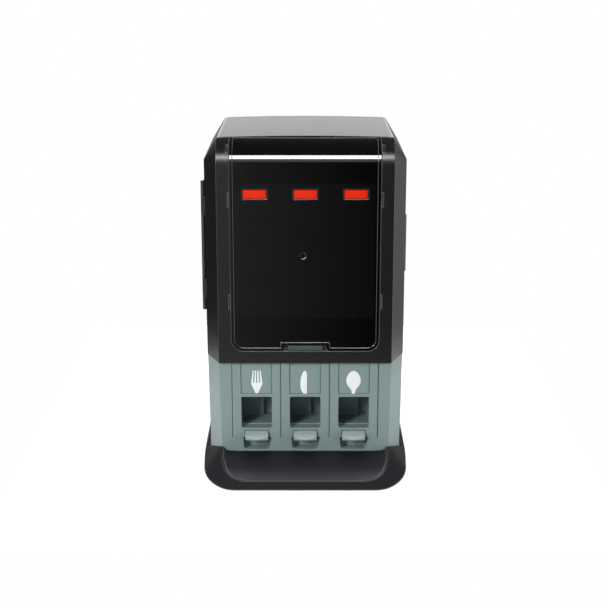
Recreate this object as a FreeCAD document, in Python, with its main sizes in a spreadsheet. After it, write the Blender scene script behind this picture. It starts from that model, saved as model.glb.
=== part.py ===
import FreeCAD, Part
import math
import os
import re
import Sketcher

# Counter-top cutlery dispenser with three towers and three press levers.
# Millimetres. +Z up, front towards -Y, origin on the floor under the middle of the object.

doc = FreeCAD.newDocument("CutleryDispenser")
Vector = FreeCAD.Vector
SPRING_RUNS = 10  # straight runs in a turn of a coil spring
UP = Vector(0, 0, 1)
DOWN = Vector(0, 0, -1)
DIAGONAL = "sqrt(0.5)"  # share of a radius at the middle of a quarter turn

# ---------------------------------------------------------------- driving dimensions

SIZES = [
    # whole object
    ("base_depth", 352, "depth of the base on the floor"),
    ("base_flare", 6, "base beyond the body at each side"),
    ("body_margin", 35.5, "body beyond the three towers' share of the width, at each side"),
    ("facet_width", 18.5, "how far the front facets take in each side"),
    ("facet_depth", 45, "depth of the upright front facets"),
    ("rear_bevel", 6, "bevel of the rear corners"),
    ("body_top", 447, "height of the top where it meets the chamfers"),
    ("top_chamfer", 31, "height of the chamfer along each top edge"),
    ("crown", 2, "rise of the top at its middle"),
    ("scoop_reach", 102, "how far the base stands in front of the door"),
    ("rear_margin", 2, "base behind the rear cover"),
    ("wall", 3, "wall of the moulded housings"),
    ("gap", 0.3, "clearance between pieces that move apart"),
    ("seat", 0.1, "clearance between pieces that stay together"),
    ("run_fit", 0.05, "radial clearance of a pin in its hole"),
    # base
    ("foot_drop", 1, "thickness of the rubber feet below the base"),
    ("foot_radius", 9.7, "radius of a rubber foot"),
    ("foot_front_in", 62, "front feet behind the front edge"),
    ("foot_rear_in", 22, "rear feet in front of the rear edge"),
    ("foot_front_side", 30, "front feet in from the sides of the base"),
    ("foot_rear_side", 11, "rear feet in from the sides of the base"),
    ("platform", 13.6, "height of the base under the lower housing"),
    ("rim_height", 20, "height of the rim at the front corners of the body"),
    ("rim_side", 3.6, "height of the rim along the sides and the rear"),
    ("rim_margin", 1.6, "rim beyond the foot of the lower housing at the sides"),
    ("rim_corner", 8, "bevel of the rear corners of the rim"),
    ("base_corner", 10, "bevel of the rear corners of the base on the floor"),
    ("front_corner", 48, "depth of the curved front corners along the front edge"),
    ("hollow_side", 12, "floor of the base beside its hollow"),
    ("hollow_front", 26, "floor of the base between the fascias and its hollow"),
    ("hollow_rear", 14, "floor of the base behind its hollow"),
    ("rim_front", 9.5, "height of the rim at the front"),
    ("scoop_floor", 4.5, "lowest height of the scoop"),
    ("shoulder_front", 10, "slope of the rim in front of the scoop"),
    # lower housing
    ("lower_setback", 8, "lower front behind the door front"),
    ("lower_taper", 2.2, "how much narrower the lower housing is at the bottom, each side"),
    ("skirt_low", 3.1, "lower edge of the skirt of the lower housing, round the platform"),
    ("skirt_play", 0.5, "clearance between the skirt and the base"),
    ("waist", 143.6, "height where the black upper half begins"),
    ("band_top", 33.3, "top of the band below the fascias"),
    ("pitch", 67, "distance between towers"),
    ("cup_width", 37, "width of a finger recess"),
    ("cup_depth", 17, "depth of a finger recess"),
    ("cup_floor", 16, "height of the bottom of a finger recess"),
    ("cup_back", 8, "height of the wall at the back of a finger recess"),
    ("cup_corner", 5, "radius in the lower corners of a finger recess"),
    ("post_side", 30, "screw posts in from the sides of the body"),
    ("post_front", 40, "front screw posts behind the lever pins"),
    ("post_rear", 24, "rear screw posts in front of the rear wall"),
    ("post_height", 18, "height of the screw posts"),
    ("post_hole", 14, "depth of the holes in the screw posts"),
    ("seat_cup", 2, "height and wall of the cup that a lever spring stands in"),
    # chutes
    ("fascia", 3.5, "thickness of a fascia"),
    ("fascia_joint", 0.6, "joint between neighbouring fascias"),
    ("mouth_width", 42.4, "width of a dispensing opening"),
    ("mouth_low", 46.9, "sill of a dispensing opening"),
    ("mouth_high", 92.6, "top of a dispensing opening"),
    ("mouth_corner", 2.5, "corner radius of an opening"),
    ("chute_depth", 51.5, "depth of the chute behind the fascia front"),
    ("chute_wall", 2.5, "wall of the chute"),
    ("recess_depth", 11, "extra depth of the right part of the chute"),
    ("partition", 6.4, "edge of the partition from the middle of the chute"),
    ("step_height", 1.5, "step in the chute floor"),
    ("step_back", 16, "step behind the fascia front"),
    ("step_slope", 3, "depth of the slope of the step"),
    ("icon_width", 42.2, "width of the icon plate"),
    ("icon_low", 96.7, "bottom of the icon plate"),
    ("icon_sink", 1.5, "icon plate behind the fascia front"),
    ("icon_play", 0.4, "clearance beside the icon plate"),
    ("icon_thick", 1, "thickness of the icon plate"),
    # levers
    ("tab_width", 32, "width of a lever tab"),
    ("tab_reach", 10, "how far the tab stands out of the fascia"),
    ("tab_top", 43.5, "height of the tab at the fascia"),
    ("tab_drop", 9.6, "fall of the tab to its front edge"),
    ("tab_edge", 1.6, "thickness of the front edge of the tab"),
    ("tab_bow", 4, "bow of the front edge of the tab"),
    ("tab_play", 0.8, "clearance beside the tab in the fascia"),
    ("lever_thick", 3.5, "thickness of the lever"),
    ("pivot_back", 80, "lever pivot behind the door front"),
    ("pivot_height", 38, "height of the lever pivot"),
    ("pin_radius", 2.5, "radius of the lever pin"),
    ("barrel_radius", 5, "radius of the lever barrel"),
    ("tip_below", 5.78, "tip of the lever arm below the deck"),
    ("arm_width", 8, "width of the lever arm"),
    ("tip_radius", 3, "radius of the round tip of the lever arm"),
    ("lever_swing", 10, "swing of the lever in degrees"),
    ("spring_back", 36, "lever spring behind the door front"),
    ("spring_radius", 4.5, "mean radius of the lever spring"),
    ("spring_wire", 0.5, "radius of the spring wire"),
    ("spring_turns", 3.5, "turns of the lever spring"),
    ("leaf_thick", 0.4, "thickness of the leaf spring behind the release bar"),
    ("leaf_rise", 3, "half height of the leaf spring"),
    # deck, towers, followers, ejectors
    ("deck", 3, "thickness of the tower deck"),
    ("tower_width", 58, "width of a tower"),
    ("tower_depth", 170, "depth of a tower"),
    ("tower_headroom", 49, "towers below the top of the body"),
    ("tower_wall", 2, "wall of a tower"),
    ("tower_front", 19, "towers behind the door front"),
    ("tower_slot", 34, "open slot in the front of a tower"),
    ("ledge_rise", 10.6, "ledge that stops the follower, above the deck"),
    ("follower_height", 14, "height of the follower weight"),
    ("ejector_width", 44, "width of the stripper slide"),
    ("ejector_thick", 3, "thickness of the stripper slide"),
    ("ejector_length", 120, "length of the stripper slide"),
    ("fin_width", 12, "width of the fin under the slide"),
    # flags
    ("flag_width", 35.6, "width of a stock flag"),
    ("flag_height", 17, "height of a stock flag"),
    ("flag_below", 21.25, "middle of the flags below the tops of the towers"),
    ("flag_thick", 1.6, "thickness of a flag"),
    ("axle_radius", 1.2, "radius of the flag axle"),
    ("axle_back", 10, "flag axle behind the door front"),
    ("axle_below", 13.75, "flag axle below the middle of the flags"),
    # door
    ("door_side", 50, "depth of the door at its sides"),
    ("door_top", 34, "depth of the door on top"),
    ("rounding", 31, "radius over the top front edge"),
    ("ridge", 6, "radius along the ridges between the top and the chamfers"),
    ("rail", 17, "height of the rail below the window"),
    ("window_margin", 0.5, "edge of the window inside the outer lines of the towers"),
    ("window_corner", 16, "lower corner radius of the panel"),
    ("panel", 2.6, "thickness of the window panel"),
    ("lip_width", 4.3, "width of the lip of the panel"),
    ("lip_height", 0.6, "height of the lip of the panel"),
    ("notch_width", 57.5, "notch for the release bar"),
    ("notch_height", 7.6, "height of the notch"),
    ("top_notch", 52, "notch in the top edge of the panel"),
    ("sight_width", 33.4, "width of a flag aperture"),
    ("sight_height", 13.8, "height of a flag aperture"),
    ("sight_corner", 1, "bevel in the corners of a flag aperture"),
    ("bar_width", 46.5, "width of the release bar"),
    ("bar_height", 6.6, "height of the release bar"),
    ("clip_length", 19, "length of a window clip"),
    ("clip_high_drop", 46.5, "upper clips below the chamfers"),
    ("clip_low_rise", 86.4, "lower clips above the waist"),
    ("dimple_left", 3, "dimple of the window, left of the middle"),
    ("dimple_rise", 13.7, "dimple above the middle of the door side"),
    ("dimple_radius", 4.2, "radius of the dimple"),
    ("grip_length", 78, "length of the finger grip on the free edge of the door"),
    ("grip_rise", 21.2, "middle of the grip above the middle of the door side"),
    ("catch_length", 26, "length of the steel plate of the catch"),
    # hinge and rear cover
    ("knuckle_radius", 2.8, "radius of the hinge knuckles"),
    ("hinge_pin_radius", 1.4, "radius of the hinge pin"),
    ("hinge_back", 56, "hinge axis behind the door front"),
    ("hinge_rise", 61.4, "lower end of the hinge above the waist"),
    ("hinge_drop", 31, "upper end of the hinge below the chamfers"),
    ("ear_length", 20, "length of the fixed knuckles at the ends of the hinge"),
    ("knuckle_length", 25, "length of the two knuckles of the door"),
    ("cover_depth", 25.6, "depth of the rear cover"),
    ("cover_corner", 9, "radius round the rear cover"),
    ("screw_radius", 1.9, "radius of a screw shank"),
    ("head_radius", 3.6, "radius of a screw head"),
    ("head_height", 2.2, "height of a screw head"),
    ("boss_radius", 5, "radius of a screw boss"),
]

# Sizes that follow from the driving ones.
DERIVED = {
    "side": "1.5 * pitch + body_margin",
    "base_half": "side + base_flare",
    "front_half": "side - facet_width",
    "base_front": "-base_depth / 2",
    "door_face": "base_front + scoop_reach",
    "rear_face": "base_depth / 2 - rear_margin",
    "chamfer_low": "body_top - top_chamfer",
    "split": "door_face + door_side",
    "top_split": "door_face + door_top",
    "cover_split": "rear_face - cover_depth",
    "fascia_face": "door_face + lower_setback",
    "lower_floor": "platform + seat",
    "lower_top": "waist - gap",
    "lower_rear": "rear_face - 2",
    "foot_front": "front_half - lower_taper",
    "foot_side": "side - lower_taper",
    "front_bay": "1.5 * pitch + fascia_joint / 2",
    "pivot_y": "door_face + pivot_back",
    "arm_length": "(deck_low - tip_below - pivot_height) / cos(lever_swing / 2)",
    "tip_y": "pivot_y + arm_length * sin(lever_swing / 2)",
    "tip_z": "pivot_height + arm_length * cos(lever_swing / 2)",
    "ejector_travel": "2 * arm_length * sin(lever_swing / 2)",
    "deck_low": "lower_top + seat",
    "deck_high": "deck_low + deck",
    "tower_low": "deck_high + seat",
    "tower_top": "body_top - tower_headroom",
    "ledge_height": "deck_high + ledge_rise",
    "flag_centre": "tower_top - flag_below",
    "axle_height": "flag_centre - axle_below",
    "door_middle": "(waist + chamfer_low) / 2",
    "clip_high": "chamfer_low - clip_high_drop",
    "clip_low": "waist + clip_low_rise",
    "dimple_height": "door_middle + dimple_rise",
    "catch_height": "door_middle + grip_rise + 4",
    "hinge_low": "waist + hinge_rise",
    "hinge_high": "chamfer_low - hinge_drop",
    "tower_face": "door_face + tower_front",
    "tower_back": "tower_face + tower_depth",
    "window_half": "1.5 * pitch - window_margin",
    "window_low": "waist + rail + 0.4",
    "bay_half": "window_half + gap + 0.1",
    "bay_low": "window_low - gap - 0.1",
    "panel_back": "door_face + panel",
    "flag_back": "panel_back + 0.5",
    "axle_y": "door_face + axle_back",
    "hinge_x": "-(side + 0.2 + knuckle_radius)",
    "hinge_y": "door_face + hinge_back",
    "base_floor": "foot_drop",
    # how far a corner of the body moves sideways for each millimetre that its walls move in
    "shoulder_shift": "tan(atan(facet_width / top_chamfer) / 2)",
    "ridge_shift": "tan(atan(top_chamfer / facet_width) / 2)",
    "front_corner_shift": "tan(atan(facet_depth / facet_width) / 2)",
    "rear_corner_shift": "tan(atan(facet_width / facet_depth) / 2)",
}

sizes = doc.addObject("Spreadsheet::Sheet", "Sizes")
for row, (alias, number, meaning) in enumerate(SIZES, start=1):
    sizes.set(f"A{row}", meaning)
    sizes.set(f"B{row}", str(number))
    sizes.setAlias(f"B{row}", alias)
doc.recompute()
ALIASES = {alias for alias, _, _ in SIZES}


def formula(text):
    """Spell out a size formula in cells of the sheet."""

    def cell(match):
        word = match.group()
        if word in DERIVED:
            return "(" + formula(DERIVED[word]) + ")"
        return "Sizes." + word if word in ALIASES else word

    return re.sub(r"[a-z_]+", cell, str(text))


def value(text):
    """Number that a size formula gives now."""
    return float(sizes.evalExpression(formula(text)))


def bind(thing, name, text):
    thing.setExpression(name, formula(text))


# ---------------------------------------------------------------- drawing helpers

# Each plane: its role, which way a sketch offset counts, and which flag makes a pad or a pocket
# run towards the plus side of its axis.
PLANES = {
    "top": ("XY_Plane", 1, False, True),
    "front": ("XZ_Plane", -1, True, False),
    "right": ("YZ_Plane", 1, False, True),
}


def new_body(name):
    body = doc.addObject("PartDesign::Body", name)
    body.Label = name
    return body


def new_sketch(body, view, level):
    """Empty sketch on an origin plane of the body, at a height that follows the sheet."""
    role, sign, _, _ = PLANES[view]
    sketch = body.newObject("Sketcher::SketchObject", body.Name + "_sketch")
    plane = [feature for feature in body.Origin.OriginFeatures if feature.Role == role][0]
    sketch.AttachmentSupport = [(plane, "")]
    sketch.MapMode = "FlatFace"
    bind(sketch, "AttachmentOffset.Base.z", f"{sign} * ({level})")
    return sketch


def fix_point(sketch, geometry, position, point):
    """Tie a point of the sketch to two formulas."""
    for kind, text in zip(("DistanceX", "DistanceY"), point):
        rule = Sketcher.Constraint(kind, -1, 1, geometry, position, value(text))
        number = sketch.addConstraint(rule)
        sketch.setExpression(f"Constraints[{number}]", formula(text))


def draw_outline(sketch, points):
    """Closed outline of lines; a point ("arc", u, v) bends the line between its neighbours."""
    corners = [point for point in points if point[0] != "arc"]
    bends = {}
    count = 0
    for point in points:
        if point[0] == "arc":
            bends[count - 1] = point[1:]
        else:
            count += 1
    places = [Vector(value(u), value(v), 0) for u, v in corners]
    ends = []
    for number, start in enumerate(places):
        finish = places[(number + 1) % len(places)]
        if number in bends:
            middle = Vector(value(bends[number][0]), value(bends[number][1]), 0)
            if (middle - start).cross(finish - middle).z > 0:
                edge = sketch.addGeometry(Part.Arc(start, middle, finish))
                ends.append((edge, 1, 2))
            else:
                edge = sketch.addGeometry(Part.Arc(finish, middle, start))
                ends.append((edge, 2, 1))
        else:
            edge = sketch.addGeometry(Part.LineSegment(start, finish))
            ends.append((edge, 1, 2))
    for number, (edge, _, last) in enumerate(ends):
        following, first, _ = ends[(number + 1) % len(ends)]
        sketch.addConstraint(Sketcher.Constraint("Coincident", edge, last, following, first))
    for (edge, first, _), corner in zip(ends, corners):
        fix_point(sketch, edge, first, corner)
    for number, bend in bends.items():
        place = Vector(value(bend[0]), value(bend[1]), 0)
        marker = sketch.addGeometry(Part.Point(place), True)
        fix_point(sketch, marker, 1, bend)
        sketch.addConstraint(Sketcher.Constraint("PointOnObject", marker, 1, ends[number][0]))


def draw_circle(sketch, centre, radius):
    place = Vector(value(centre[0]), value(centre[1]), 0)
    circle = sketch.addGeometry(Part.Circle(place, Vector(0, 0, 1), value(radius)))
    fix_point(sketch, circle, 3, centre)
    number = sketch.addConstraint(Sketcher.Constraint("Radius", circle, value(radius)))
    sketch.setExpression(f"Constraints[{number}]", formula(radius))


def octagon(centre, radius):
    """Corners of an eight-sided outline, with its flats at the radius."""
    u, v = centre
    reach = f"({radius}) / {math.cos(math.pi / 8):.6f}"
    angles = [math.pi / 8 + number * math.pi / 4 for number in range(8)]
    return [(f"({u}) + {math.cos(angle):.6f} * {reach}", f"({v}) + {math.sin(angle):.6f} * {reach}")
            for angle in angles]


def box_outline(low_u, high_u, low_v, high_v):
    return [(low_u, low_v), (high_u, low_v), (high_u, high_v), (low_u, high_v)]


def profile(body, view, level, shape):
    """Sketch with one outline, or with circles or octagons given as (centre, radius)."""
    sketch = new_sketch(body, view, level)
    if shape[0] == "circles":
        for centre, radius in shape[1:]:
            draw_circle(sketch, centre, radius)
    elif shape[0] == "octagons":
        for centre, radius in shape[1:]:
            draw_outline(sketch, octagon(centre, radius))
    else:
        draw_outline(sketch, shape)
    return sketch


def add(body, view, low, high, shape):
    """Pad a profile from one level of the view's axis to another."""
    pad = body.newObject("PartDesign::Pad", body.Name + "_pad")
    pad.Profile = profile(body, view, low, shape)
    pad.Reversed = PLANES[view][2]
    bind(pad, "Length", f"({high}) - ({low})")
    body.Tip = pad
    return pad


def cut(body, view, low, high, shape):
    """Pocket a profile from one level of the view's axis to another; it must remove something."""
    doc.recompute()
    before = body.Shape.Volume
    pocket = body.newObject("PartDesign::Pocket", body.Name + "_pocket")
    pocket.Profile = profile(body, view, low, shape)
    pocket.Reversed = PLANES[view][3]
    bind(pocket, "Length", f"({high}) - ({low})")
    body.Tip = pocket
    doc.recompute()
    if not body.Shape.Volume < before - 1e-3:
        raise RuntimeError(f"{body.Name}: {pocket.Name} cuts nothing")
    return pocket


def loft(body, kind, sections):
    """Ruled loft through (view, level, outline) sections."""
    drawn = [profile(body, view, level, shape) for view, level, shape in sections]
    feature = body.newObject("PartDesign::" + kind, body.Name + "_loft")
    feature.Profile = drawn[0]
    feature.Sections = drawn[1:]
    feature.Ruled = True
    body.Tip = feature
    return feature


def round_edges(body, radius, chosen, chamfer=False):
    """Fillet or chamfer the edges for which chosen(edge) is true."""
    doc.recompute()
    base = body.Tip
    names = [f"Edge{number}" for number, edge in enumerate(base.Shape.Edges, 1) if chosen(edge)]
    if not names:
        raise RuntimeError(f"{body.Name}: no edge to round")
    kind = "PartDesign::Chamfer" if chamfer else "PartDesign::Fillet"
    feature = body.newObject(kind, body.Name + "_edge")
    feature.Base = (base, names)
    bind(feature, "Size" if chamfer else "Radius", radius)
    body.Tip = feature
    doc.recompute()
    return feature


def runs_along(edge, axis):
    """True for a straight edge along an axis (0, 1 or 2)."""
    if len(edge.Vertexes) != 2:
        return False
    step = edge.Vertexes[1].Point - edge.Vertexes[0].Point
    others = [abs(step[number]) for number in range(3) if number != axis]
    straight = edge.Curve.TypeId == "Part::GeomLine"
    return straight and max(others) < 1e-4 and abs(step[axis]) > 1e-4


def edge_at(edge, **where):
    """True if the middle of an edge lies at the given x, y or z (formulas)."""
    middle = edge.BoundBox.Center
    found = {"x": middle.x, "y": middle.y, "z": middle.z}
    return all(abs(found[axis] - value(text)) < 0.02 for axis, text in where.items())


# ---------------------------------------------------------------- base


def crest(x, y, lift="0"):
    """Point of the rim plane, which falls from the fascias to the front of the base."""
    fall = (value("fascia_face") - y) / (value("fascia_face") - value("base_front + shoulder_front"))
    height = value("rim_height") - max(fall, 0) * value("rim_height - rim_front")
    return Vector(x, y, height + value(lift))


def half_curves(points):
    """Right-hand edges through a list of stretches, each a line or a smooth curve."""
    edges = []
    for stretch in points:
        if len(stretch) == 2:
            edges.append(Part.makeLine(stretch[0], stretch[1]))
        else:
            curve = Part.BSplineCurve()
            curve.interpolate(stretch)
            edges.append(curve.toShape())
    return edges


def mirrored(edge):
    return edge.mirror(Vector(0, 0, 0), Vector(1, 0, 0))


def build_base():
    """Sculpted tray: a sloped skirt from the floor outline up to the rim, then a concave scoop."""
    wide = value("base_half")
    front = value("base_front")
    rear = value("base_depth / 2")
    face = value("door_face")
    corner = value("base_corner")
    round_in = value("front_corner")
    bottom = value("base_floor")
    facet_end = face + value("facet_depth") + value("lower_setback")
    ahead = value("scoop_reach")

    def floor_point(x, y):
        return Vector(x, y, bottom)

    floor_stretches = [
        [floor_point(0, rear), floor_point(wide - corner, rear)],
        [floor_point(wide - corner, rear), floor_point(wide, rear - corner)],
        [floor_point(wide, rear - corner), floor_point(wide, facet_end)],
        [floor_point(wide, facet_end), floor_point(wide - 1, face + 0.2 * ahead),
         floor_point(wide - 2.6, face - 0.08 * ahead)],
        [floor_point(wide - 2.6, face - 0.08 * ahead), floor_point(wide - 6.4, face - 0.43 * ahead),
         floor_point(wide - 13.5, face - 0.66 * ahead), floor_point(wide - 23, face - 0.83 * ahead),
         floor_point(wide - 33, face - 0.94 * ahead), floor_point(wide - round_in, front)],
        [floor_point(wide - round_in, front), floor_point(0, front)],
    ]
    rim_across = value("foot_side + rim_margin")
    rim_bevel = value("rim_corner")
    rim_front_half = value("front_half") - 1.4
    rim_rear = value("lower_rear + rim_margin")
    rim_reach = ahead - value("shoulder_front")
    rim_curve = [(0, -0.12), (5, -0.54), (10, -0.73), (18.5, -0.89), (30, -0.985), (42, -1)]
    rim_start = crest(rim_front_half, value("fascia_face"))

    def low_rim(x, y):
        return Vector(x, y, value("rim_side"))

    rim_stretches = [
        [low_rim(0, rim_rear), low_rim(rim_across - rim_bevel, rim_rear)],
        [low_rim(rim_across - rim_bevel, rim_rear), low_rim(rim_across, rim_rear - rim_bevel)],
        [low_rim(rim_across, rim_rear - rim_bevel), low_rim(rim_across, facet_end)],
        [low_rim(rim_across, facet_end), rim_start],
        [rim_start] + [crest(rim_front_half - inset, face + part * rim_reach)
                       for inset, part in rim_curve],
        [crest(rim_front_half - 42, face - rim_reach), crest(0, face - rim_reach)],
    ]
    right_floor = half_curves(floor_stretches)
    right_rim = half_curves(rim_stretches)
    faces = []
    for low, high in zip(right_floor, right_rim):
        skirt = Part.makeRuledSurface(low, high)
        faces.append(skirt)
        faces.append(skirt.mirror(Vector(0, 0, 0), Vector(1, 0, 0)))
    floor_wire = Part.Wire(Part.__sortEdges__(right_floor + [mirrored(edge) for edge in right_floor]))
    faces.append(Part.Face(floor_wire))
    across = Part.makeLine(rim_start, Vector(-rim_start.x, rim_start.y, rim_start.z))
    across_low = Part.makeLine(low_rim(rim_across, facet_end), low_rim(-rim_across, facet_end))
    for part, ends in ((right_rim[:3], [across_low]), (right_rim[3:4], [across_low, across]),
                       (right_rim[4:], [across])):
        loop = Part.__sortEdges__(part + [mirrored(edge) for edge in part] + ends)
        faces.append(Part.Face(Part.Wire(loop)))
    shell = Part.Shell(faces)
    shell.sewShape()
    tray = Part.Solid(shell)
    if tray.Volume < 0:
        tray.reverse()

    def ring(inset, drop):
        """Closed outline inside the rim; drop blends it from the rim plane to the scoop floor."""
        def point(x, y):
            along = (y - (face - rim_reach)) / (value("fascia_face") - (face - rim_reach))
            on_rim = value("rim_front + 0.6") + along * value("rim_height - rim_front")
            low = value("scoop_floor") + along * value("platform - scoop_floor - 0.4")
            return Vector(x, y, on_rim * (1 - drop) + low * drop)
        half = rim_front_half - 3 - inset
        rear_line = value("fascia_face")
        right = [point(half, rear_line)]
        for inward, part in rim_curve:
            right.append(point(half - inward, face + part * (rim_reach - 3 - inset)))
        curve = Part.BSplineCurve()
        curve.interpolate(right)
        side_edge = curve.toShape()
        front_edge = Part.makeLine(right[-1], Vector(-right[-1].x, right[-1].y, right[-1].z))
        rear_edge = Part.makeLine(right[0], Vector(-right[0].x, right[0].y, right[0].z))
        return [side_edge, front_edge, mirrored(side_edge), rear_edge]

    rings = [ring(0, 0), ring(2.5, 0.62), ring(8, 0.93), ring(20, 1)]
    scoop_faces = []
    for outer, inner in zip(rings, rings[1:]):
        for low, high in zip(inner, outer):
            scoop_faces.append(Part.makeRuledSurface(low, high))
    for outline in (rings[0], rings[-1]):
        scoop_faces.append(Part.Face(Part.Wire(Part.__sortEdges__(outline))))
    scoop_shell = Part.Shell(scoop_faces)
    scoop_shell.sewShape()
    scoop = Part.Solid(scoop_shell)
    if scoop.Volume < 0:
        scoop.reverse()
    tray = tray.cut(scoop)

    # moat for the skirt of the lower housing, round the platform that it stands on
    nose = "fascia_face - gap"
    level = value("skirt_low - seat")
    moat = flat_face(skirt_plan("-skirt_play", nose), level).extrude(UP * value("rim_height + 10"))
    platform = flat_face(skirt_plan("wall + skirt_play", nose), level - 1)
    tray = tray.cut(moat).fuse(platform.extrude(UP * (value("platform") - level + 1)))

    # hollow underside, as deep as the platform leaves room for
    hollow_half = value("foot_side - hollow_side")
    hollow_low = Vector(-hollow_half, value("fascia_face + hollow_front"), bottom - 1)
    hollow = Part.makeBox(2 * hollow_half, value("lower_rear - hollow_rear") - hollow_low.y,
                          value("platform - wall") - bottom + 1, hollow_low)
    hollow = hollow.makeChamfer(rim_bevel, [edge for edge in hollow.Edges if runs_along(edge, 2)])
    tray = tray.cut(hollow)
    for x, y in base_screw_places():
        foot = Vector(x, y, bottom)
        tray = tray.fuse(prism(foot, UP, value("boss_radius + 1"), value("platform") - bottom - 0.5, 8))
        hole = prism(foot, UP, value("screw_radius + gap"), value("platform"), 8)
        sink = prism(foot, UP, value("head_radius + gap"), value("head_height") + 0.7, 8)
        tray = tray.cut(hole).cut(sink)
    base = doc.addObject("Part::Feature", "base_tray")
    base.Label = "base_tray"
    base.Shape = tray.removeSplitter()
    return base


def skirt_plan(inset, front):
    """Plan of the foot of the lower housing, inset from its facets, sides and rear only."""
    bend = f"(fascia_face + facet_depth + ({inset}) * rear_corner_shift)"
    side = f"(foot_side - ({inset}))"
    back = f"(lower_rear - ({inset}))"
    half = f"({side} - ({bend} - ({front})) * facet_width / facet_depth)"
    return [
        (f"-{half}", front), (half, front), (side, bend), (side, f"{back} - rear_bevel"),
        (f"{side} - rear_bevel", back), (f"rear_bevel - {side}", back),
        (f"-{side}", f"{back} - rear_bevel"), (f"-{side}", bend),
    ]


def flat_face(outline, level):
    """Face at a height from an outline of formulas."""
    corners = [Vector(value(x), value(y), level) for x, y in outline]
    return Part.Face(Part.makePolygon(corners + corners[:1]))


def prism(start, along, radius, length, sides):
    """Straight prism whose flats lie at the radius from its axis."""
    across = Vector(along.y, along.z, along.x) * (radius / math.cos(math.pi / sides))
    turn = FreeCAD.Rotation(along, 360 / sides)
    arms = [across]
    for _ in range(sides - 1):
        arms.append(turn.multVec(arms[-1]))
    corners = [start + arm for arm in arms]
    return Part.Face(Part.makePolygon(corners + corners[:1])).extrude(along * length)


def foot_places():
    front = value("base_front + foot_front_in")
    rear = value("base_depth / 2 - foot_rear_in")
    across_front = value("base_half - foot_front_side")
    across_rear = value("base_half - foot_rear_side")
    return [(sign * x, y) for sign in (-1, 1) for x, y in ((across_front, front), (across_rear, rear))]


def base_screw_places():
    across = value("side - post_side")
    return [(sign * across, y) for sign in (-1, 1)
            for y in (value("pivot_y + post_front"), value("lower_rear - post_rear"))]


def group(name, shapes):
    """Several like solids that share one node."""
    piece = doc.addObject("Part::Feature", name)
    piece.Label = name
    piece.Shape = Part.makeCompound(shapes)
    return piece


def screw(start, along, length):
    """Hexagon screw: its head's outer face is at start and its shank runs along the direction."""
    slim = math.cos(math.pi / 6)
    head = prism(start, along, value("head_radius") * slim, value("head_height"), 6)
    shank = prism(start, along, value("screw_radius") * slim, length, 6)
    return head.fuse(shank).removeSplitter()


def build_feet():
    return group("rubber_feet", [prism(Vector(x, y, 0), UP, value("foot_radius"), value("foot_drop"), 12)
                                 for x, y in foot_places()])


# ---------------------------------------------------------------- lower housing


def body_plan(half_front, half_side, front, rear):
    """Plan of the faceted body: flat front, two facets, straight sides."""
    return [
        (f"-({half_front})", front), (half_front, front),
        (half_side, f"({front}) + facet_depth"), (half_side, f"({rear}) - rear_bevel"),
        (f"({half_side}) - rear_bevel", rear), (f"rear_bevel - ({half_side})", rear),
        (f"-({half_side})", f"({rear}) - rear_bevel"), (f"-({half_side})", f"({front}) + facet_depth"),
    ]


def build_lower_housing():
    body = new_body("lower_housing")
    loft(body, "AdditiveLoft", [
        ("top", "lower_floor", body_plan("foot_front", "foot_side", "fascia_face", "lower_rear")),
        ("top", "lower_top", body_plan("front_half", "side", "fascia_face", "lower_rear")),
    ])
    # hollow, open at the top
    cut(body, "top", "lower_floor + wall", "lower_top + 1",
        body_plan("foot_front - wall", "foot_side - wall", "fascia_face + wall", "lower_rear - wall"))
    # skirt down the outside of the platform, open at the front
    add(body, "top", "skirt_low", "lower_floor + 1", skirt_plan("0", "fascia_face"))
    cut(body, "top", "skirt_low - 1", "lower_floor", skirt_plan("wall", "fascia_face - 1"))
    # bay for the three fascias
    cut(body, "front", "fascia_face - 1", "fascia_face + wall + 1",
        box_outline("-front_bay", "front_bay", "band_top", "lower_top + 1"))
    for number in (-1, 0, 1):
        middle = f"{number} * pitch"
        outer = "cup_width / 2 + wall"
        add(body, "top", "lower_floor + 1", "band_top",
            box_outline(f"{middle} - ({outer})", f"{middle} + {outer}", "fascia_face + 1",
                        "fascia_face + cup_depth + wall"))
        cut(body, "front", "fascia_face - 1", "fascia_face + cup_depth",
            box_outline(f"{middle} - cup_width / 2", f"{middle} + cup_width / 2", "cup_floor",
                        "band_top + 1"))
        cut(body, "front", "fascia_face + cup_depth - 1", "fascia_face + cup_depth + wall + 1",
            box_outline(f"{middle} - cup_width / 2", f"{middle} + cup_width / 2", "cup_floor + cup_back",
                        "band_top + 1"))
        # seat cup of the lever spring
        bore = "spring_radius + spring_wire + gap"
        add(body, "top", "lower_floor + 1", "lower_floor + wall + seat_cup",
            ("octagons", ((middle, "door_face + spring_back"), f"{bore} + seat_cup")))
        cut(body, "top", "lower_floor + wall", "lower_floor + wall + seat_cup + 1",
            ("octagons", ((middle, "door_face + spring_back"), bore)))
    # screw posts standing on the floor
    for x, y in base_screw_places():
        add(body, "top", "lower_floor + 1", "lower_floor + post_height",
            ("octagons", ((str(x), str(y)), "boss_radius")))
        cut(body, "top", "lower_floor - 1", "lower_floor + post_hole",
            ("octagons", ((str(x), str(y)), "screw_radius + seat")))
    # lower corners of the finger recesses
    round_edges(body, "cup_corner", lambda edge: runs_along(edge, 1) and edge_at(edge, z="cup_floor")
                and edge.BoundBox.YMax > value("fascia_face + cup_depth - 0.1"))
    return body


# ---------------------------------------------------------------- chutes and icon plates


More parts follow.
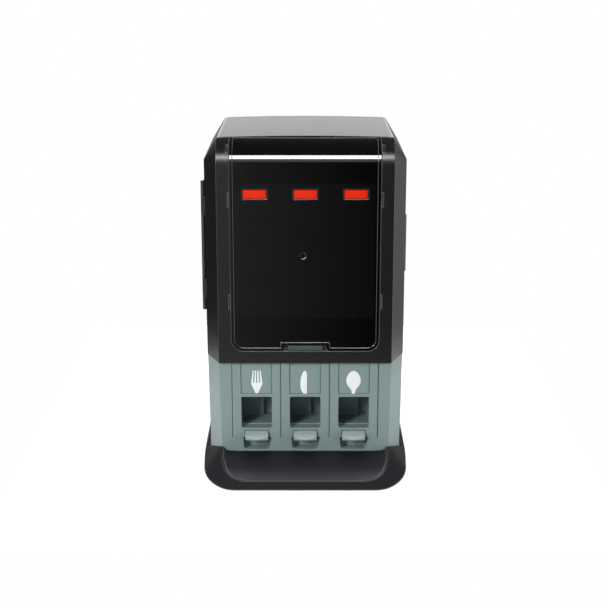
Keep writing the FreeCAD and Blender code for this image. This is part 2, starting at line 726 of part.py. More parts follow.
def build_chute(name, middle):
    body = new_body("chute_" + name)
    half = "(pitch - fascia_joint) / 2"
    mouth = "mouth_width / 2"
    fascia_back = "fascia_face + fascia"
    chute_back = "fascia_face + chute_depth"
    low = "mouth_low - chute_wall"
    top = "lower_top - seat"

    def across(low_u, high_u, low_v, high_v):
        return box_outline(f"{middle} + ({low_u})", f"{middle} + ({high_u})", low_v, high_v)

    add(body, "front", "fascia_face", fascia_back,
        across(f"-{half}", half, "band_top + seat", top))
    round_edges(body, "1.1", lambda edge: runs_along(edge, 2)
                and edge_at(edge, y="fascia_face"), chamfer=True)
    # chute box, with the deeper right part
    add(body, "front", "fascia_face + fascia - 0.5", f"{chute_back} + chute_wall",
        across(f"-{mouth} - chute_wall", f"{mouth} + chute_wall", low, top))
    add(body, "front", chute_back, f"{chute_back} + recess_depth + chute_wall",
        across("partition", f"{mouth} + chute_wall", low, top))
    cut(body, "front", fascia_back, chute_back,
        across(f"-{mouth}", mouth, "mouth_low", f"{top} + 1"))
    cut(body, "front", f"{chute_back} - 1", f"{chute_back} + recess_depth",
        across("partition + 1.6", mouth, "mouth_low + step_height", f"{top} + 1"))
    # dispensing opening
    cut(body, "front", "fascia_face - 1", f"{fascia_back} + 1",
        across(f"-{mouth}", mouth, "mouth_low", "mouth_high"))
    round_edges(body, "mouth_corner", lambda edge: runs_along(edge, 1)
                and edge.BoundBox.YMin < value("fascia_face + 0.1")
                and abs(abs(edge.BoundBox.Center.x - value(middle)) - value(mouth)) < 0.02
                and value("mouth_low - 0.1") < edge.BoundBox.Center.z < value("mouth_high + 0.1"))
    # stepped floor
    add(body, "right", f"{middle} - {mouth} - 0.5", f"{middle} + {mouth} + 0.5", [
        ("fascia_face + step_back", "mouth_low - 0.5"),
        ("fascia_face + step_back", "mouth_low + step_height * 0.5"),
        ("fascia_face + step_back + step_slope", "mouth_low + step_height"),
        (f"{chute_back} + 0.5", "mouth_low + step_height"),
        (f"{chute_back} + 0.5", "mouth_low - 0.5"),
    ])
    # seat of the icon plate
    cut(body, "front", "fascia_face - 1", "fascia_face + icon_sink + icon_thick + seat",
        across("-icon_width / 2 - icon_play", "icon_width / 2 + icon_play", "icon_low - seat",
               f"{top} + 1"))
    # way out for the lever
    cut(body, "front", "fascia_face - 1", f"{fascia_back} + 1",
        across("-tab_width / 2 - tab_play", "tab_width / 2 + tab_play", "band_top", "tab_top + 1"))
    # cheeks that carry the lever pin
    for sign in (-1, 1):
        near = f"{middle} + {sign} * ({mouth})"
        far = f"{middle} + {sign} * ({mouth} + chute_wall)"
        left, right = (near, far) if sign > 0 else (far, near)
        add(body, "right", left, right, [
            (f"{chute_back} - 8", f"{low} + 8"), (f"{chute_back} - 8", f"{low}"),
            ("pivot_y - 5", "pivot_height - 6"), ("pivot_y + 5", "pivot_height - 6"),
            ("pivot_y + 8", "pivot_height + 10"), ("pivot_y - 2", f"{low} + 16"),
        ])
    cut(body, "right", f"{middle} - {mouth} - chute_wall - 1", f"{middle} + {mouth} + chute_wall + 1",
        ("octagons", (("pivot_y", "pivot_height"), "pin_radius + run_fit")))
    return body


def build_icon_plate(name, middle):
    body = new_body("icon_plate_" + name)
    add(body, "front", "fascia_face + icon_sink", "fascia_face + icon_sink + icon_thick",
        box_outline(f"{middle} - icon_width / 2", f"{middle} + icon_width / 2", "icon_low",
                    "lower_top - seat"))
    return body


# ---------------------------------------------------------------- levers and ejectors


def build_lever(name, middle):
    body = new_body("lever_" + name)
    top = "tab_top"
    low = "tab_top - lever_thick"
    tip = "fascia_face - tab_reach"
    # pressed tab with a bowed front edge
    add(body, "right", f"{middle} - tab_width / 2", f"{middle} + tab_width / 2", [
        (tip, f"{top} - tab_drop - tab_edge"), (tip, f"{top} - tab_drop"),
        ("fascia_face - 1", f"{top} - 0.8"), ("fascia_face + 3", top),
        ("fascia_face + cup_depth", top), ("fascia_face + cup_depth", low),
        ("fascia_face + 2", low), (f"{tip} + 4", f"{top} - tab_drop - tab_edge - 1"),
    ])
    edge_low = f"{tip} - 1"
    bowed = f"{tip} + tab_bow"
    cut(body, "top", "20", "tab_top + 2", [
        (f"{middle} - tab_width / 2 - 1", edge_low), (f"{middle} + tab_width / 2 + 1", edge_low),
        (f"{middle} + tab_width / 2 + 1", bowed), ("arc", middle, tip),
        (f"{middle} - tab_width / 2 - 1", bowed),
    ])
    # flat beam under the chute, hinge barrel, arm and its round tip
    add(body, "right", f"{middle} - 12", f"{middle} + 12", [
        ("fascia_face + cup_depth - 3", low), ("fascia_face + cup_depth - 3", top),
        ("pivot_y", "pivot_height + barrel_radius"), ("pivot_y", "pivot_height + 1"),
    ])
    add(body, "right", f"{middle} - mouth_width / 2 + gap", f"{middle} + mouth_width / 2 - gap",
        ("octagons", (("pivot_y", "pivot_height"), "barrel_radius")))
    add(body, "right", f"{middle} - arm_width / 2", f"{middle} + arm_width / 2", [
        ("pivot_y - barrel_radius * 0.8", "pivot_height"),
        ("pivot_y + barrel_radius * 0.8", "pivot_height"),
        ("tip_y + tip_radius * 0.6", "tip_z - tip_radius * 0.8"),
        ("arc", "tip_y", "tip_z + tip_radius"),
        ("tip_y - tip_radius * 0.6", "tip_z - tip_radius * 0.8"),
    ])
    cut(body, "right", f"{middle} - mouth_width / 2", f"{middle} + mouth_width / 2",
        ("octagons", (("pivot_y", "pivot_height"), "pin_radius + run_fit")))
    # locating stud of the spring
    add(body, "top", f"{low} - 4", f"{low} + 1",
        ("octagons", ((middle, "door_face + spring_back"), "spring_radius - spring_wire - 0.9")))
    return body


def build_lever_pins():
    half = value("mouth_width / 2 + chute_wall + 0.5")
    pins = []
    for number in (-1, 0, 1):
        start = Vector(number * value("pitch") - half, value("pivot_y"), value("pivot_height"))
        pins.append(Part.makeCylinder(value("pin_radius"), 2 * half, start, Vector(1, 0, 0)))
    return group("lever_pins", pins)


def build_lever_spring(name, middle):
    """Compression spring: a square wire swept along a helix of short straight runs."""
    low = value("lower_floor + wall + spring_wire + gap")
    high = value("tab_top - lever_thick - spring_wire - gap")
    radius = value("spring_radius")
    wire = value("spring_wire")
    centre = Vector(value(middle), value("door_face + spring_back"), low)
    steps = round(value("spring_turns") * SPRING_RUNS)
    angles = [number * 2 * math.pi / SPRING_RUNS for number in range(steps + 1)]
    spots = [centre + Vector(radius * math.cos(angle), radius * math.sin(angle),
                             (high - low) * number / steps) for number, angle in enumerate(angles)]
    side = 2 * wire
    across = Vector(side / 2, 0, side / 2)
    corners = [spots[0] + corner for corner in
               (across, Vector(-across.x, 0, across.z), -across, Vector(across.x, 0, -across.z))]
    pipe = Part.BRepOffsetAPI.MakePipeShell(Part.makePolygon(spots))
    pipe.setFrenetMode(True)
    pipe.setTransitionMode(1)
    pipe.add(Part.makePolygon(corners + corners[:1]), False, False)
    pipe.build()
    pipe.makeSolid()
    spring = doc.addObject("Part::Feature", "lever_spring_" + name)
    spring.Label = "lever_spring_" + name
    spring.Shape = pipe.shape()
    return spring


def build_ejector(name, middle):
    body = new_body("ejector_" + name)
    low = "deck_high + gap"
    high = f"{low} + ejector_thick"
    rear = "tower_back - tower_wall - 1"
    add(body, "top", low, high, box_outline(f"{middle} - ejector_width / 2",
                                            f"{middle} + ejector_width / 2",
                                            f"{rear} - ejector_length", rear))
    # pushing nose
    add(body, "right", f"{middle} - 12", f"{middle} + 12", [
        (f"{rear} - 12", f"{high} - 1"), (f"{rear} - 8", "ledge_height - 1"),
        (rear, "ledge_height - 1"), (rear, f"{high} - 1"),
    ])
    # fin with the slot for the lever tip
    add(body, "right", f"{middle} - fin_width / 2", f"{middle} + fin_width / 2", [
        ("tip_y - 6.5", f"{high} - 1"), ("tip_y - 6", "tip_z - 8"),
        ("tip_y + 6", "tip_z - 8"), ("tip_y + 6.5", f"{high} - 1"),
    ])
    cut(body, "right", f"{middle} - fin_width / 2 - 1", f"{middle} + fin_width / 2 + 1",
        box_outline("tip_y - tip_radius - gap", "tip_y + tip_radius + gap", "tip_z - 9",
                    "tip_z + tip_radius + 1.2"))
    return body


# ---------------------------------------------------------------- deck, towers, followers


def deck_screw_places():
    across = value("side - 12")
    return [(sign * across, y) for sign in (-1, 1)
            for y in (value("split + 22"), value("cover_split - 18"))]


def build_deck():
    body = new_body("magazine_deck")
    add(body, "top", "deck_low", "deck_high", [
        ("-(front_half - 2)", "tower_face - 2"), ("front_half - 2", "tower_face - 2"),
        ("side - wall - 1", "split + 1"), ("side - wall - 1", "cover_split - 1"),
        ("1 + wall - side", "cover_split - 1"), ("1 + wall - side", "split + 1"),
    ])
    for number in (-1, 0, 1):
        middle = f"{number} * pitch"
        # drop opening into the chute, and slot for the ejector fin
        cut(body, "top", "deck_low - 1", "deck_high + 1",
            box_outline(f"{middle} - mouth_width / 2", f"{middle} + mouth_width / 2",
                        "tower_face + tower_wall + 2", "fascia_face + chute_depth - 1"))
        cut(body, "top", "deck_low - 1", "deck_high + 1",
            box_outline(f"{middle} - fin_width / 2 - 0.5", f"{middle} + fin_width / 2 + 0.5",
                        "tip_y - 7.5 - ejector_travel", "tip_y + 7.5"))
    for x, y in deck_screw_places():
        cut(body, "top", "deck_low - 1", "deck_high + 1",
            ("octagons", ((str(x), str(y)), "screw_radius + gap")))
    return body


def build_tower(name, middle):
    body = new_body("magazine_" + name)
    half = "tower_width / 2"
    inner = "tower_width / 2 - tower_wall"
    add(body, "top", "tower_low", "tower_top",
        box_outline(f"{middle} - {half}", f"{middle} + {half}", "tower_face", "tower_back"))
    cut(body, "top", "tower_low - 1", "tower_top + 1",
        box_outline(f"{middle} - ({inner})", f"{middle} + ({inner})", "tower_face + tower_wall",
                    "tower_back - tower_wall"))
    cut(body, "front", "tower_face - 1", "tower_face + tower_wall + 1",
        box_outline(f"{middle} - tower_slot / 2", f"{middle} + tower_slot / 2", "ledge_height - 3",
                    "tower_top + 1"))
    # ledges that stop the follower
    for sign in (-1, 1):
        near = f"{middle} + {sign} * ({inner} - 2.6)"
        far = f"{middle} + {sign} * ({inner} + 0.5)"
        left, right = (near, far) if sign > 0 else (far, near)
        add(body, "front", "tower_face + 1", "tower_back - 1",
            box_outline(left, right, "ledge_height - 2", "ledge_height"))
    round_edges(body, "5", lambda edge: runs_along(edge, 1)
                and abs(abs(edge.BoundBox.Center.x - value(middle)) - value("tower_slot / 2")) < 0.02
                and edge.BoundBox.ZMax > value("tower_top - 0.1"), chamfer=True)
    return body


def build_follower(name, middle):
    body = new_body("follower_" + name)
    inner = "tower_width / 2 - tower_wall - 2 * gap"
    low = "ledge_height + gap"
    add(body, "top", low, f"{low} + follower_height",
        box_outline(f"{middle} - ({inner})", f"{middle} + {inner}",
                    "tower_face + tower_wall + 2 * gap", "tower_back - tower_wall - 2 * gap"))
    # lifting tab through the slot of the tower
    add(body, "top", f"{low} + 4", f"{low} + 9",
        box_outline(f"{middle} - tower_slot / 2 + 3", f"{middle} + tower_slot / 2 - 3",
                    "tower_face - 3", "tower_face + tower_wall + 2"))
    # well for the ballast
    cut(body, "top", f"{low} + 4", f"{low} + follower_height + 1",
        box_outline(f"{middle} - ({inner}) + 5", f"{middle} + {inner} - 5",
                    "tower_face + 12", "tower_back - 12"))
    return body


# ---------------------------------------------------------------- stock flags


def build_flag(name, middle):
    body = new_body("stock_flag_" + name)
    front = "flag_back"
    add(body, "front", front, f"{front} + flag_thick",
        box_outline(f"{middle} - flag_width / 2", f"{middle} + flag_width / 2",
                    "flag_centre - flag_height / 2", "flag_centre + flag_height / 2"))
    # neck down to the hub
    add(body, "right", f"{middle} - 13", f"{middle} + 13", [
        (front, "flag_centre - flag_height / 2 + 3"),
        (f"{front} + flag_thick", "flag_centre - flag_height / 2 + 3"),
        ("axle_y + 1", "axle_height + 1"), ("axle_y - 2", "axle_height - 1"),
        (front, "flag_centre - flag_height / 2"),
    ])
    add(body, "right", f"{middle} - 13", f"{middle} + 13",
        ("octagons", (("axle_y", "axle_height"), "1.9 * axle_radius")))
    # feeler that reaches into the tower
    add(body, "right", f"{middle} - 3", f"{middle} + 3", [
        ("axle_y + 1", "axle_height - 1"), ("axle_y + 1", "axle_height + 1"),
        ("tower_face + tower_wall + 3", "axle_height + 1"),
        ("tower_face + tower_wall + 3", "axle_height - 0.5"),
    ])
    cut(body, "right", f"{middle} - 14", f"{middle} + 14",
        ("octagons", (("axle_y", "axle_height"), "axle_radius + run_fit")))
    return body


def build_flag_bracket():
    body = new_body("flag_bracket")
    half = "pitch + tower_width / 2 - 2"
    rear = "tower_face - seat"
    add(body, "front", "tower_face - 3.6", rear,
        box_outline(f"-({half})", half, "axle_height - 14", "axle_height - 7.2"))
    for place in ("-(pitch + 20)", "-pitch / 2", "pitch / 2", "pitch + 20"):
        add(body, "right", f"{place} - 1.5", f"{place} + 1.5", [
            (f"{rear} - 1", "axle_height - 13"), (f"{rear} - 1", "axle_height + 3"),
            ("axle_y - 3", "axle_height + 3"), ("axle_y - 3", "axle_height - 5"),
        ])
    cut(body, "right", f"-({half}) - 1", f"{half} + 1",
        ("octagons", (("axle_y", "axle_height"), "axle_radius + run_fit")))
    return body


def build_flag_axle():
    half = value("pitch + 22")
    axle = doc.addObject("Part::Cylinder", "flag_axle")
    axle.Label = "flag_axle"
    bind(axle, "Radius", "axle_radius")
    bind(axle, "Height", "2 * (pitch + 22)")
    axle.Placement = FreeCAD.Placement(Vector(-half, value("axle_y"), value("axle_height")),
                                       FreeCAD.Rotation(Vector(0, 1, 0), 90))
    bind(axle, "Placement.Base.x", "-(pitch + 22)")
    bind(axle, "Placement.Base.y", "axle_y")
    bind(axle, "Placement.Base.z", "axle_height")
    return axle


# ---------------------------------------------------------------- upper housing and rear cover


def upright_outline(inset, low):
    """Front view of the upper body: straight sides, chamfered shoulders, crowned top."""
    half = f"(front_half - ({inset}) * ridge_shift)"
    edge = f"(side - ({inset}))"
    shoulder = f"(chamfer_low - ({inset}) * shoulder_shift)"
    top = f"(body_top - ({inset}))"
    return [
        (f"-{edge}", low), (f"-{edge}", shoulder), (f"-{half}", top),
        ("arc", "0", f"{top} + crown"),
        (half, top), (edge, shoulder), (edge, low),
    ]


def on_ridge(edge):
    """True for the edges between the top and the chamfers, where the body is drawn along Y."""
    middle = edge.BoundBox.Center
    across = abs(abs(middle.x) - value("front_half")) < 0.02
    return runs_along(edge, 1) and across and abs(middle.z - value("body_top")) < 0.02


def rear_screw_places():
    across = value("side - wall - 6")
    return [(sign * across, z) for sign in (-1, 1)
            for z in (value("waist + 24"), value("chamfer_low - 20"))]


def build_upper_housing():
    body = new_body("upper_housing")
    add(body, "front", "top_split + gap", "cover_split", upright_outline("0", "waist"))
    round_edges(body, "ridge", on_ridge)
    cut(body, "front", "top_split - 1", "cover_split + 1", upright_outline("wall", "waist - 1"))
    # the door closes the front of the sides
    cut(body, "right", "-side - 1", "side + 1", [
        ("top_split - 1", "waist - 1"), ("split + 2 * gap", "waist - 1"),
        ("split + 2 * gap", "chamfer_low - 11"), ("top_split + gap", "body_top + crown + 1"),
        ("top_split - 1", "body_top + crown + 1"),
    ])
    # flanges on the deck
    for sign in (-1, 1):
        near = f"{sign} * (side - wall - 16)"
        far = f"{sign} * (side - 1)"
        left, right = (near, far) if sign > 0 else (far, near)
        add(body, "front", "split + 3", "cover_split - 3",
            box_outline(left, right, "deck_high + seat", "deck_high + seat + wall"))
    for x, y in deck_screw_places():
        cut(body, "top", "deck_high", "deck_high + wall + 1",
            ("octagons", ((str(x), str(y)), "screw_radius + gap")))
    for height in hinge_screw_heights():
        cut(body, "right", "-side - 1", "wall - side + 1",
            ("octagons", (("hinge_y + 10", height), "screw_radius + seat")))
    # bosses for the rear cover screws
    for x, z in rear_screw_places():
        outward = math.copysign(1, x)
        wall_side = f"{outward} * (side - 1)"
        inner_side = str(x)
        left, right = (inner_side, wall_side) if outward > 0 else (wall_side, inner_side)
        add(body, "front", "cover_split - 16", "cover_split",
            box_outline(left, right, f"{z} - boss_radius", f"{z} + boss_radius"))
        add(body, "front", "cover_split - 16", "cover_split",
            ("octagons", ((str(x), str(z)), "boss_radius")))
        cut(body, "front", "cover_split - 14", "cover_split + 1",
            ("octagons", ((str(x), str(z)), "screw_radius + seat")))
    return body


def build_rear_cover():
    body = new_body("rear_cover")
    front = "cover_split + gap"
    add(body, "front", front, "rear_face", upright_outline("0", "waist"))
    round_edges(body, "ridge", on_ridge)

    def on_rear_rim(edge):
        box = edge.BoundBox
        return box.YMin > value("rear_face - 0.01")

    round_edges(body, "cover_corner", on_rear_rim)
    inner = upright_outline("wall", "waist + wall")
    cut(body, "front", f"{front} - 1", "rear_face - wall", inner)
    for x, z in rear_screw_places():
        add(body, "front", front, "rear_face - 1",
            ("octagons", ((str(x), str(z)), "boss_radius")))
        cut(body, "front", f"{front} - 1", "rear_face + 1",
            ("octagons", ((str(x), str(z)), "screw_radius + gap")))
        cut(body, "front", "rear_face - head_height - 4", "rear_face + 1",
            ("octagons", ((str(x), str(z)), "head_radius + gap")))
    return body


# ---------------------------------------------------------------- door


def door_side_view(inset, rear):
    """Side view of the door at its flat front: upright, rounded over, open at the rear line."""
    radius = f"(rounding - ({inset}))"
    middle = "door_face + rounding"
    return [
        (f"door_face + ({inset})", f"waist + ({inset})"),
        (f"door_face + ({inset})", "body_top - rounding"),
        ("arc", f"{middle} - {DIAGONAL} * {radius}", f"body_top - rounding + {DIAGONAL} * {radius}"),
        (middle, f"body_top - ({inset})"), (rear, f"body_top - ({inset})"),
        (rear, f"waist + ({inset})"),
    ]


def door_edge_view(inset, rear):
    """The same outline at the outer edge of the facets."""
    small = "2"
    bend = f"(1 - {DIAGONAL}) * {small}"
    front = f"door_face + facet_depth + ({inset}) * rear_corner_shift"
    top = f"chamfer_low - ({inset}) * shoulder_shift"
    return [
        (front, f"waist + ({inset})"), (front, f"{top} - {small}"),
        ("arc", f"{front} + {bend}", f"{top} - {bend}"),
        (f"{front} + {small}", top), (rear, top),
        (rear, f"waist + ({inset})"),
    ]


def straight(outline):
    """The same outline with two chords in place of each arc."""
    return [point[1:] if point[0] == "arc" else point for point in outline]


def build_door_frame():
    body = new_body("door_frame")
    rear = "split"
    add(body, "right", "-front_half", "front_half", door_side_view("0", rear))
    for sign in (-1, 1):
        loft(body, "AdditiveLoft", [
            ("right", f"{sign} * front_half", door_side_view("0", rear)),
            ("right", f"{sign} * side", door_edge_view("0", rear)),
        ])
    doc.recompute()
    # hollow behind the wall, open at the rear
    inner_half = "(front_half - wall * front_corner_shift)"
    cut(body, "right", f"-{inner_half}", inner_half, door_side_view("wall", f"{rear} + 5"))
    for sign in (-1, 1):
        loft(body, "SubtractiveLoft", [
            ("right", f"{sign} * {inner_half}", straight(door_side_view("wall", f"{rear} + 5"))),
            ("right", f"{sign} * (side - wall)", straight(door_edge_view("wall", f"{rear} + 5"))),
        ])
    doc.recompute()
    # the top is shorter than the sides, and so is the bottom
    cut(body, "right", "-side - 1", "side + 1", [
        ("split + 1", "chamfer_low - 11 - 2"), ("split", "chamfer_low - 11"),
        ("top_split", "body_top + crown + 1"), ("split + 1", "body_top + crown + 1"),
    ])
    cut(body, "top", "waist - 1", "waist + wall + 0.5", [
        ("-(front_half + 0.5)", "door_face + 15"), ("front_half + 0.5", "door_face + 15"),
        ("side - wall", "door_face + facet_depth + 2"), ("side - wall", "split + 1"),
        ("wall - side", "split + 1"), ("wall - side", "door_face + facet_depth + 2"),
    ])
    # window bay, over the rounding to the top
    bend = f"(1 - {DIAGONAL}) * window_corner"
    cut(body, "front", "door_face - 1", "door_face + rounding + gap", [
        ("-bay_half", "body_top + 5"), ("-bay_half", "bay_low + window_corner"),
        ("arc", f"{bend} - bay_half", f"bay_low + {bend}"),
        ("-bay_half + window_corner", "bay_low"), ("bay_half - window_corner", "bay_low"),
        ("arc", f"bay_half - {bend}", f"bay_low + {bend}"),
        ("bay_half", "bay_low + window_corner"), ("bay_half", "body_top + 5"),
    ])
    # ledge that the panel lies on: two uprights, a sill and a bar below the top edge
    ledge_front = "door_face + wall - 0.1"
    ledge_back = "door_face + wall + 2"
    for sign in (-1, 1):
        near = f"{sign} * (window_half - 4)"
        far = f"{sign} * (bay_half + 4)"
        left, right = (near, far) if sign > 0 else (far, near)
        add(body, "front", ledge_front, ledge_back,
            box_outline(left, right, "waist + wall - 0.5", "body_top - rounding"))
        # stile behind the ledge, up to the bar
        left, right = (f"{sign} * (bay_half + 1)", far) if sign > 0 else (far, f"{sign} * (bay_half + 1)")
        add(body, "front", "door_face + wall + 1", "top_split - 3",
            box_outline(left, right, "body_top - rounding - 4", "body_top - wall - 3"))
    add(body, "front", ledge_front, ledge_back,
        box_outline("4 - window_half", "window_half - 4", "waist + wall - 0.5", "window_low + 4"))
    add(body, "front", "door_face + rounding + gap", "top_split - 0.4",
        box_outline("-front_half + 1", "front_half - 1", "body_top - wall - 4",
                    "body_top - wall + 0.5"))
    add(body, "front", "door_face + rounding - 3", "door_face + rounding + 2",
        box_outline("-front_half + 1", "front_half - 1", "body_top - wall - 4",
                    "body_top - wall - 0.8"))
    # way through the sill for the release bar, and the plate behind its spring
    cut(body, "front", "door_face + 1", f"{ledge_back} + 1",
        box_outline("-bar_width / 2 - gap", "bar_width / 2 + gap", "window_low - 0.1",
                    "window_low + 8"))
    add(body, "front", "door_face + 12", "door_face + 14",
        box_outline("-8", "8", "waist + 1", "window_low + 6"))
    # notches for the window clips
    for sign in (-1, 1):
        near = f"{sign} * (bay_half - 0.5)"
        far = f"{sign} * (bay_half + 2.9)"
        left, right = (near, far) if sign > 0 else (far, near)
        for height in ("clip_low", "clip_high"):
            cut(body, "front", "door_face - 1", "door_face + wall + 3",
                box_outline(left, right, f"{height} - clip_length / 2 - seat",
                            f"{height} + clip_length / 2 + seat"))
    # finger grip along the free edge
    grip_middle = "door_middle + grip_rise"
    add(body, "top", f"{grip_middle} - grip_length / 2", f"{grip_middle} + grip_length / 2", [
        ("side - 1", "split - 5.5"), ("side + 0.6", "split - 5"), ("side + 1.5", "split - 3"),
        ("side + 1.5", "split - 1"), ("side - 1", "split - 0.5"),
    ])
    # leaves and knuckles of the hinge
    for low, high in door_knuckles():
        add(body, "top", low, high, [
            ("hinge_x - 1.6", "hinge_y - 0.5"), ("-side - 3.6", "split - 3"),
            ("-side + 0.5", "split - 5.4"), ("-side + 1.5", "split - 0.1"),
            ("-side - 0.3", "split + 0.2"), ("hinge_x + 2", "hinge_y - 0.5"),
        ])
        add(body, "top", low, high, ("circles", (("hinge_x", "hinge_y"), "knuckle_radius")))
    cut(body, "top", "hinge_low", "hinge_high",
        ("octagons", (("hinge_x", "hinge_y"), "hinge_pin_radius + run_fit")))
    return body


def door_knuckles():
    """Lower and upper ends of the door's two hinge knuckles."""
    low = "(hinge_low + ear_length + gap)"
    high = "(hinge_high - ear_length - gap)"
    return (low, f"({low} + knuckle_length)"), (f"({high} - knuckle_length)", high)


def build_window_panel():
    body = new_body("window_panel")
    centre_y = "door_face + rounding"
    centre_z = "body_top - rounding"

    def bent(outer, inner, low):
        """Sheet between two depths below the door face, bent over the top."""
        far = f"(rounding - ({outer}))"
        near = f"(rounding - ({inner}))"
        return [
            (f"door_face + ({outer})", low), (f"door_face + ({outer})", centre_z),
            ("arc", f"{centre_y} - {DIAGONAL} * {far}", f"{centre_z} + {DIAGONAL} * {far}"),
            (centre_y, f"{centre_z} + {far}"), (centre_y, f"{centre_z} + {near}"),
            ("arc", f"{centre_y} - {DIAGONAL} * {near}", f"{centre_z} + {DIAGONAL} * {near}"),
            (f"door_face + ({inner})", centre_z), (f"door_face + ({inner})", low),
        ]

    add(body, "right", "-window_half", "window_half", bent("0", "panel", "window_low"))
    round_edges(body, "window_corner", lambda edge: runs_along(edge, 1)
                and edge_at(edge, z="window_low"))
    # face sunk inside the lip
    inner_half = "(window_half - lip_width)"
    above_notch = "(window_low + notch_height + lip_width)"
    cut(body, "right", f"-{inner_half}", inner_half, bent("-1", "lip_height", above_notch))
    for sign in (-1, 1):
        near = f"{sign} * (notch_width / 2 + lip_width)"
        far = f"{sign} * {inner_half}"
        corner = "(window_corner - lip_width)"
        low = "(window_low + lip_width)"
        cut(body, "front", "door_face - 1", "door_face + lip_height", [
            (near, f"{above_notch} + 0.2"), (near, low), (f"{sign} * ({inner_half} - {corner})", low),
            ("arc", f"{sign} * ({inner_half} - (1 - {DIAGONAL}) * {corner})",
             f"{low} + (1 - {DIAGONAL}) * {corner}"),
            (far, f"{low} + {corner}"), (far, f"{low} + {corner} + 1"),
            (f"{sign} * ({inner_half} - 2)", f"{low} + {corner} + 1"),
        ])
    # notches for the release bar and in the top edge
    cut(body, "front", "door_face - 1", "door_face + panel + 1", [
        ("-notch_width / 2 - 2", "window_low - 1"), ("notch_width / 2 + 2", "window_low - 1"),
        ("notch_width / 2 - 2", "window_low + notch_height"),
        ("2 - notch_width / 2", "window_low + notch_height"),
    ])
    cut(body, "top", "body_top - 8", "body_top + 1", [
        ("-top_notch / 2", f"{centre_y} + 1"), ("2 - top_notch / 2", f"{centre_y} - 2.5"),
        ("top_notch / 2 - 2", f"{centre_y} - 2.5"), ("top_notch / 2", f"{centre_y} + 1"),
    ])
    # apertures for the stock flags
    for number in (-1, 0, 1):
        middle = f"{number} * pitch"
        cut(body, "front", "door_face - 1", "door_face + panel + 1",
            box_outline(f"{middle} - sight_width / 2", f"{middle} + sight_width / 2",
                        "flag_centre - sight_height / 2", "flag_centre + sight_height / 2"))
    round_edges(body, "sight_corner", lambda edge: runs_along(edge, 1)
                and abs(abs(edge.BoundBox.Center.z - value("flag_centre"))
                        - value("sight_height / 2")) < 0.02, chamfer=True)
    # shallow dimple
    cut(body, "front", "door_face", "door_face + lip_height + 0.5",
        ("octagons", (("-dimple_left", "dimple_height"), "dimple_radius")))
    return body


def build_window_clips():
    clips = []
    for sign in (-1, 1):
        for height in ("clip_low", "clip_high"):
            inner = value("window_half + 0.15")
            outer = value("bay_half + 2.8")
            low = min(sign * inner, sign * outer)
            clip = Part.makeBox(outer - inner, value("wall") + 2.6, value("clip_length"),
                                Vector(low, value("door_face") - 0.7,
                                       value(height) - value("clip_length") / 2))
            front = [edge for edge in clip.Edges
                     if edge.BoundBox.YMax < value("door_face") - 0.69 and runs_along(edge, 2)]
            clips.append(clip.makeChamfer(0.6, front))
    return group("window_clips", clips)


def build_latch_bar():
    body = new_body("latch_bar")
    low = "window_low + gap"
    add(body, "front", "door_face + 0.5", "door_face + 3.5",
        box_outline("-bar_width / 2", "bar_width / 2", low, f"{low} + bar_height"))
    round_edges(body, "0.8", lambda edge: runs_along(edge, 0) and edge_at(edge, y="door_face + 0.5"))
    add(body, "front", "door_face + 3", "door_face + 8",
        box_outline("-6", "6", f"{low} + 0.8", f"{low} + bar_height - 0.8"))
    return body


def build_latch_spring():
    """Bent leaf between the plate of the door frame and the stem of the release bar."""
    body = new_body("latch_spring")
    middle = "window_low + gap + bar_height / 2"
    front = "door_face + 8 + seat"
    back = "door_face + 12 - seat"
    add(body, "right", "-2.5", "2.5", [
        (back, f"{middle} - leaf_rise"), (f"{front} + leaf_thick", middle),
        (back, f"{middle} + leaf_rise"), (f"{back} - leaf_thick", f"{middle} + leaf_rise"),
        (front, middle), (f"{back} - leaf_thick", f"{middle} - leaf_rise"),
    ])
    return body


def build_hinge_bracket():
    """Fixed leaf of the door hinge with a knuckle at each end and a long one between."""
    body = new_body("hinge_bracket")
    inner = "-(side + seat)"
    add(body, "right", "-(side + 2)", inner,
        box_outline("hinge_y + knuckle_radius + 1.2", "hinge_y + 14", "hinge_low", "hinge_high"))
    (first, second), (third, fourth) = door_knuckles()
    for low, high in (("hinge_low", f"{first} - gap"), (f"{second} + gap", f"{third} - gap"),
                      (f"{fourth} + gap", "hinge_high")):
        add(body, "right", "-(side + 2)", inner,
            box_outline("hinge_y", "hinge_y + knuckle_radius + 2", low, high))
        add(body, "top", low, high, ("circles", (("hinge_x", "hinge_y"), "knuckle_radius")))
        cut(body, "top", f"{low} - 1", f"{high} + 1",
            ("octagons", (("hinge_x", "hinge_y"), "hinge_pin_radius + run_fit")))
    for height in hinge_screw_heights():
        cut(body, "right", "-(side + 3)", "-side",
            ("octagons", (("hinge_y + 10", height), "screw_radius + gap")))
    return body


def hinge_screw_heights():
    return ["hinge_low + 20", "(hinge_low + hinge_high) / 2", "hinge_high - 20"]


def build_hinge_pin():
    pin = doc.addObject("Part::Cylinder", "hinge_pin")
    pin.Label = "hinge_pin"
    bind(pin, "Radius", "hinge_pin_radius")
    bind(pin, "Height", "hinge_high - hinge_low")
    bind(pin, "Placement.Base.x", "hinge_x")
    bind(pin, "Placement.Base.y", "hinge_y")
    bind(pin, "Placement.Base.z", "hinge_low")
    return pin


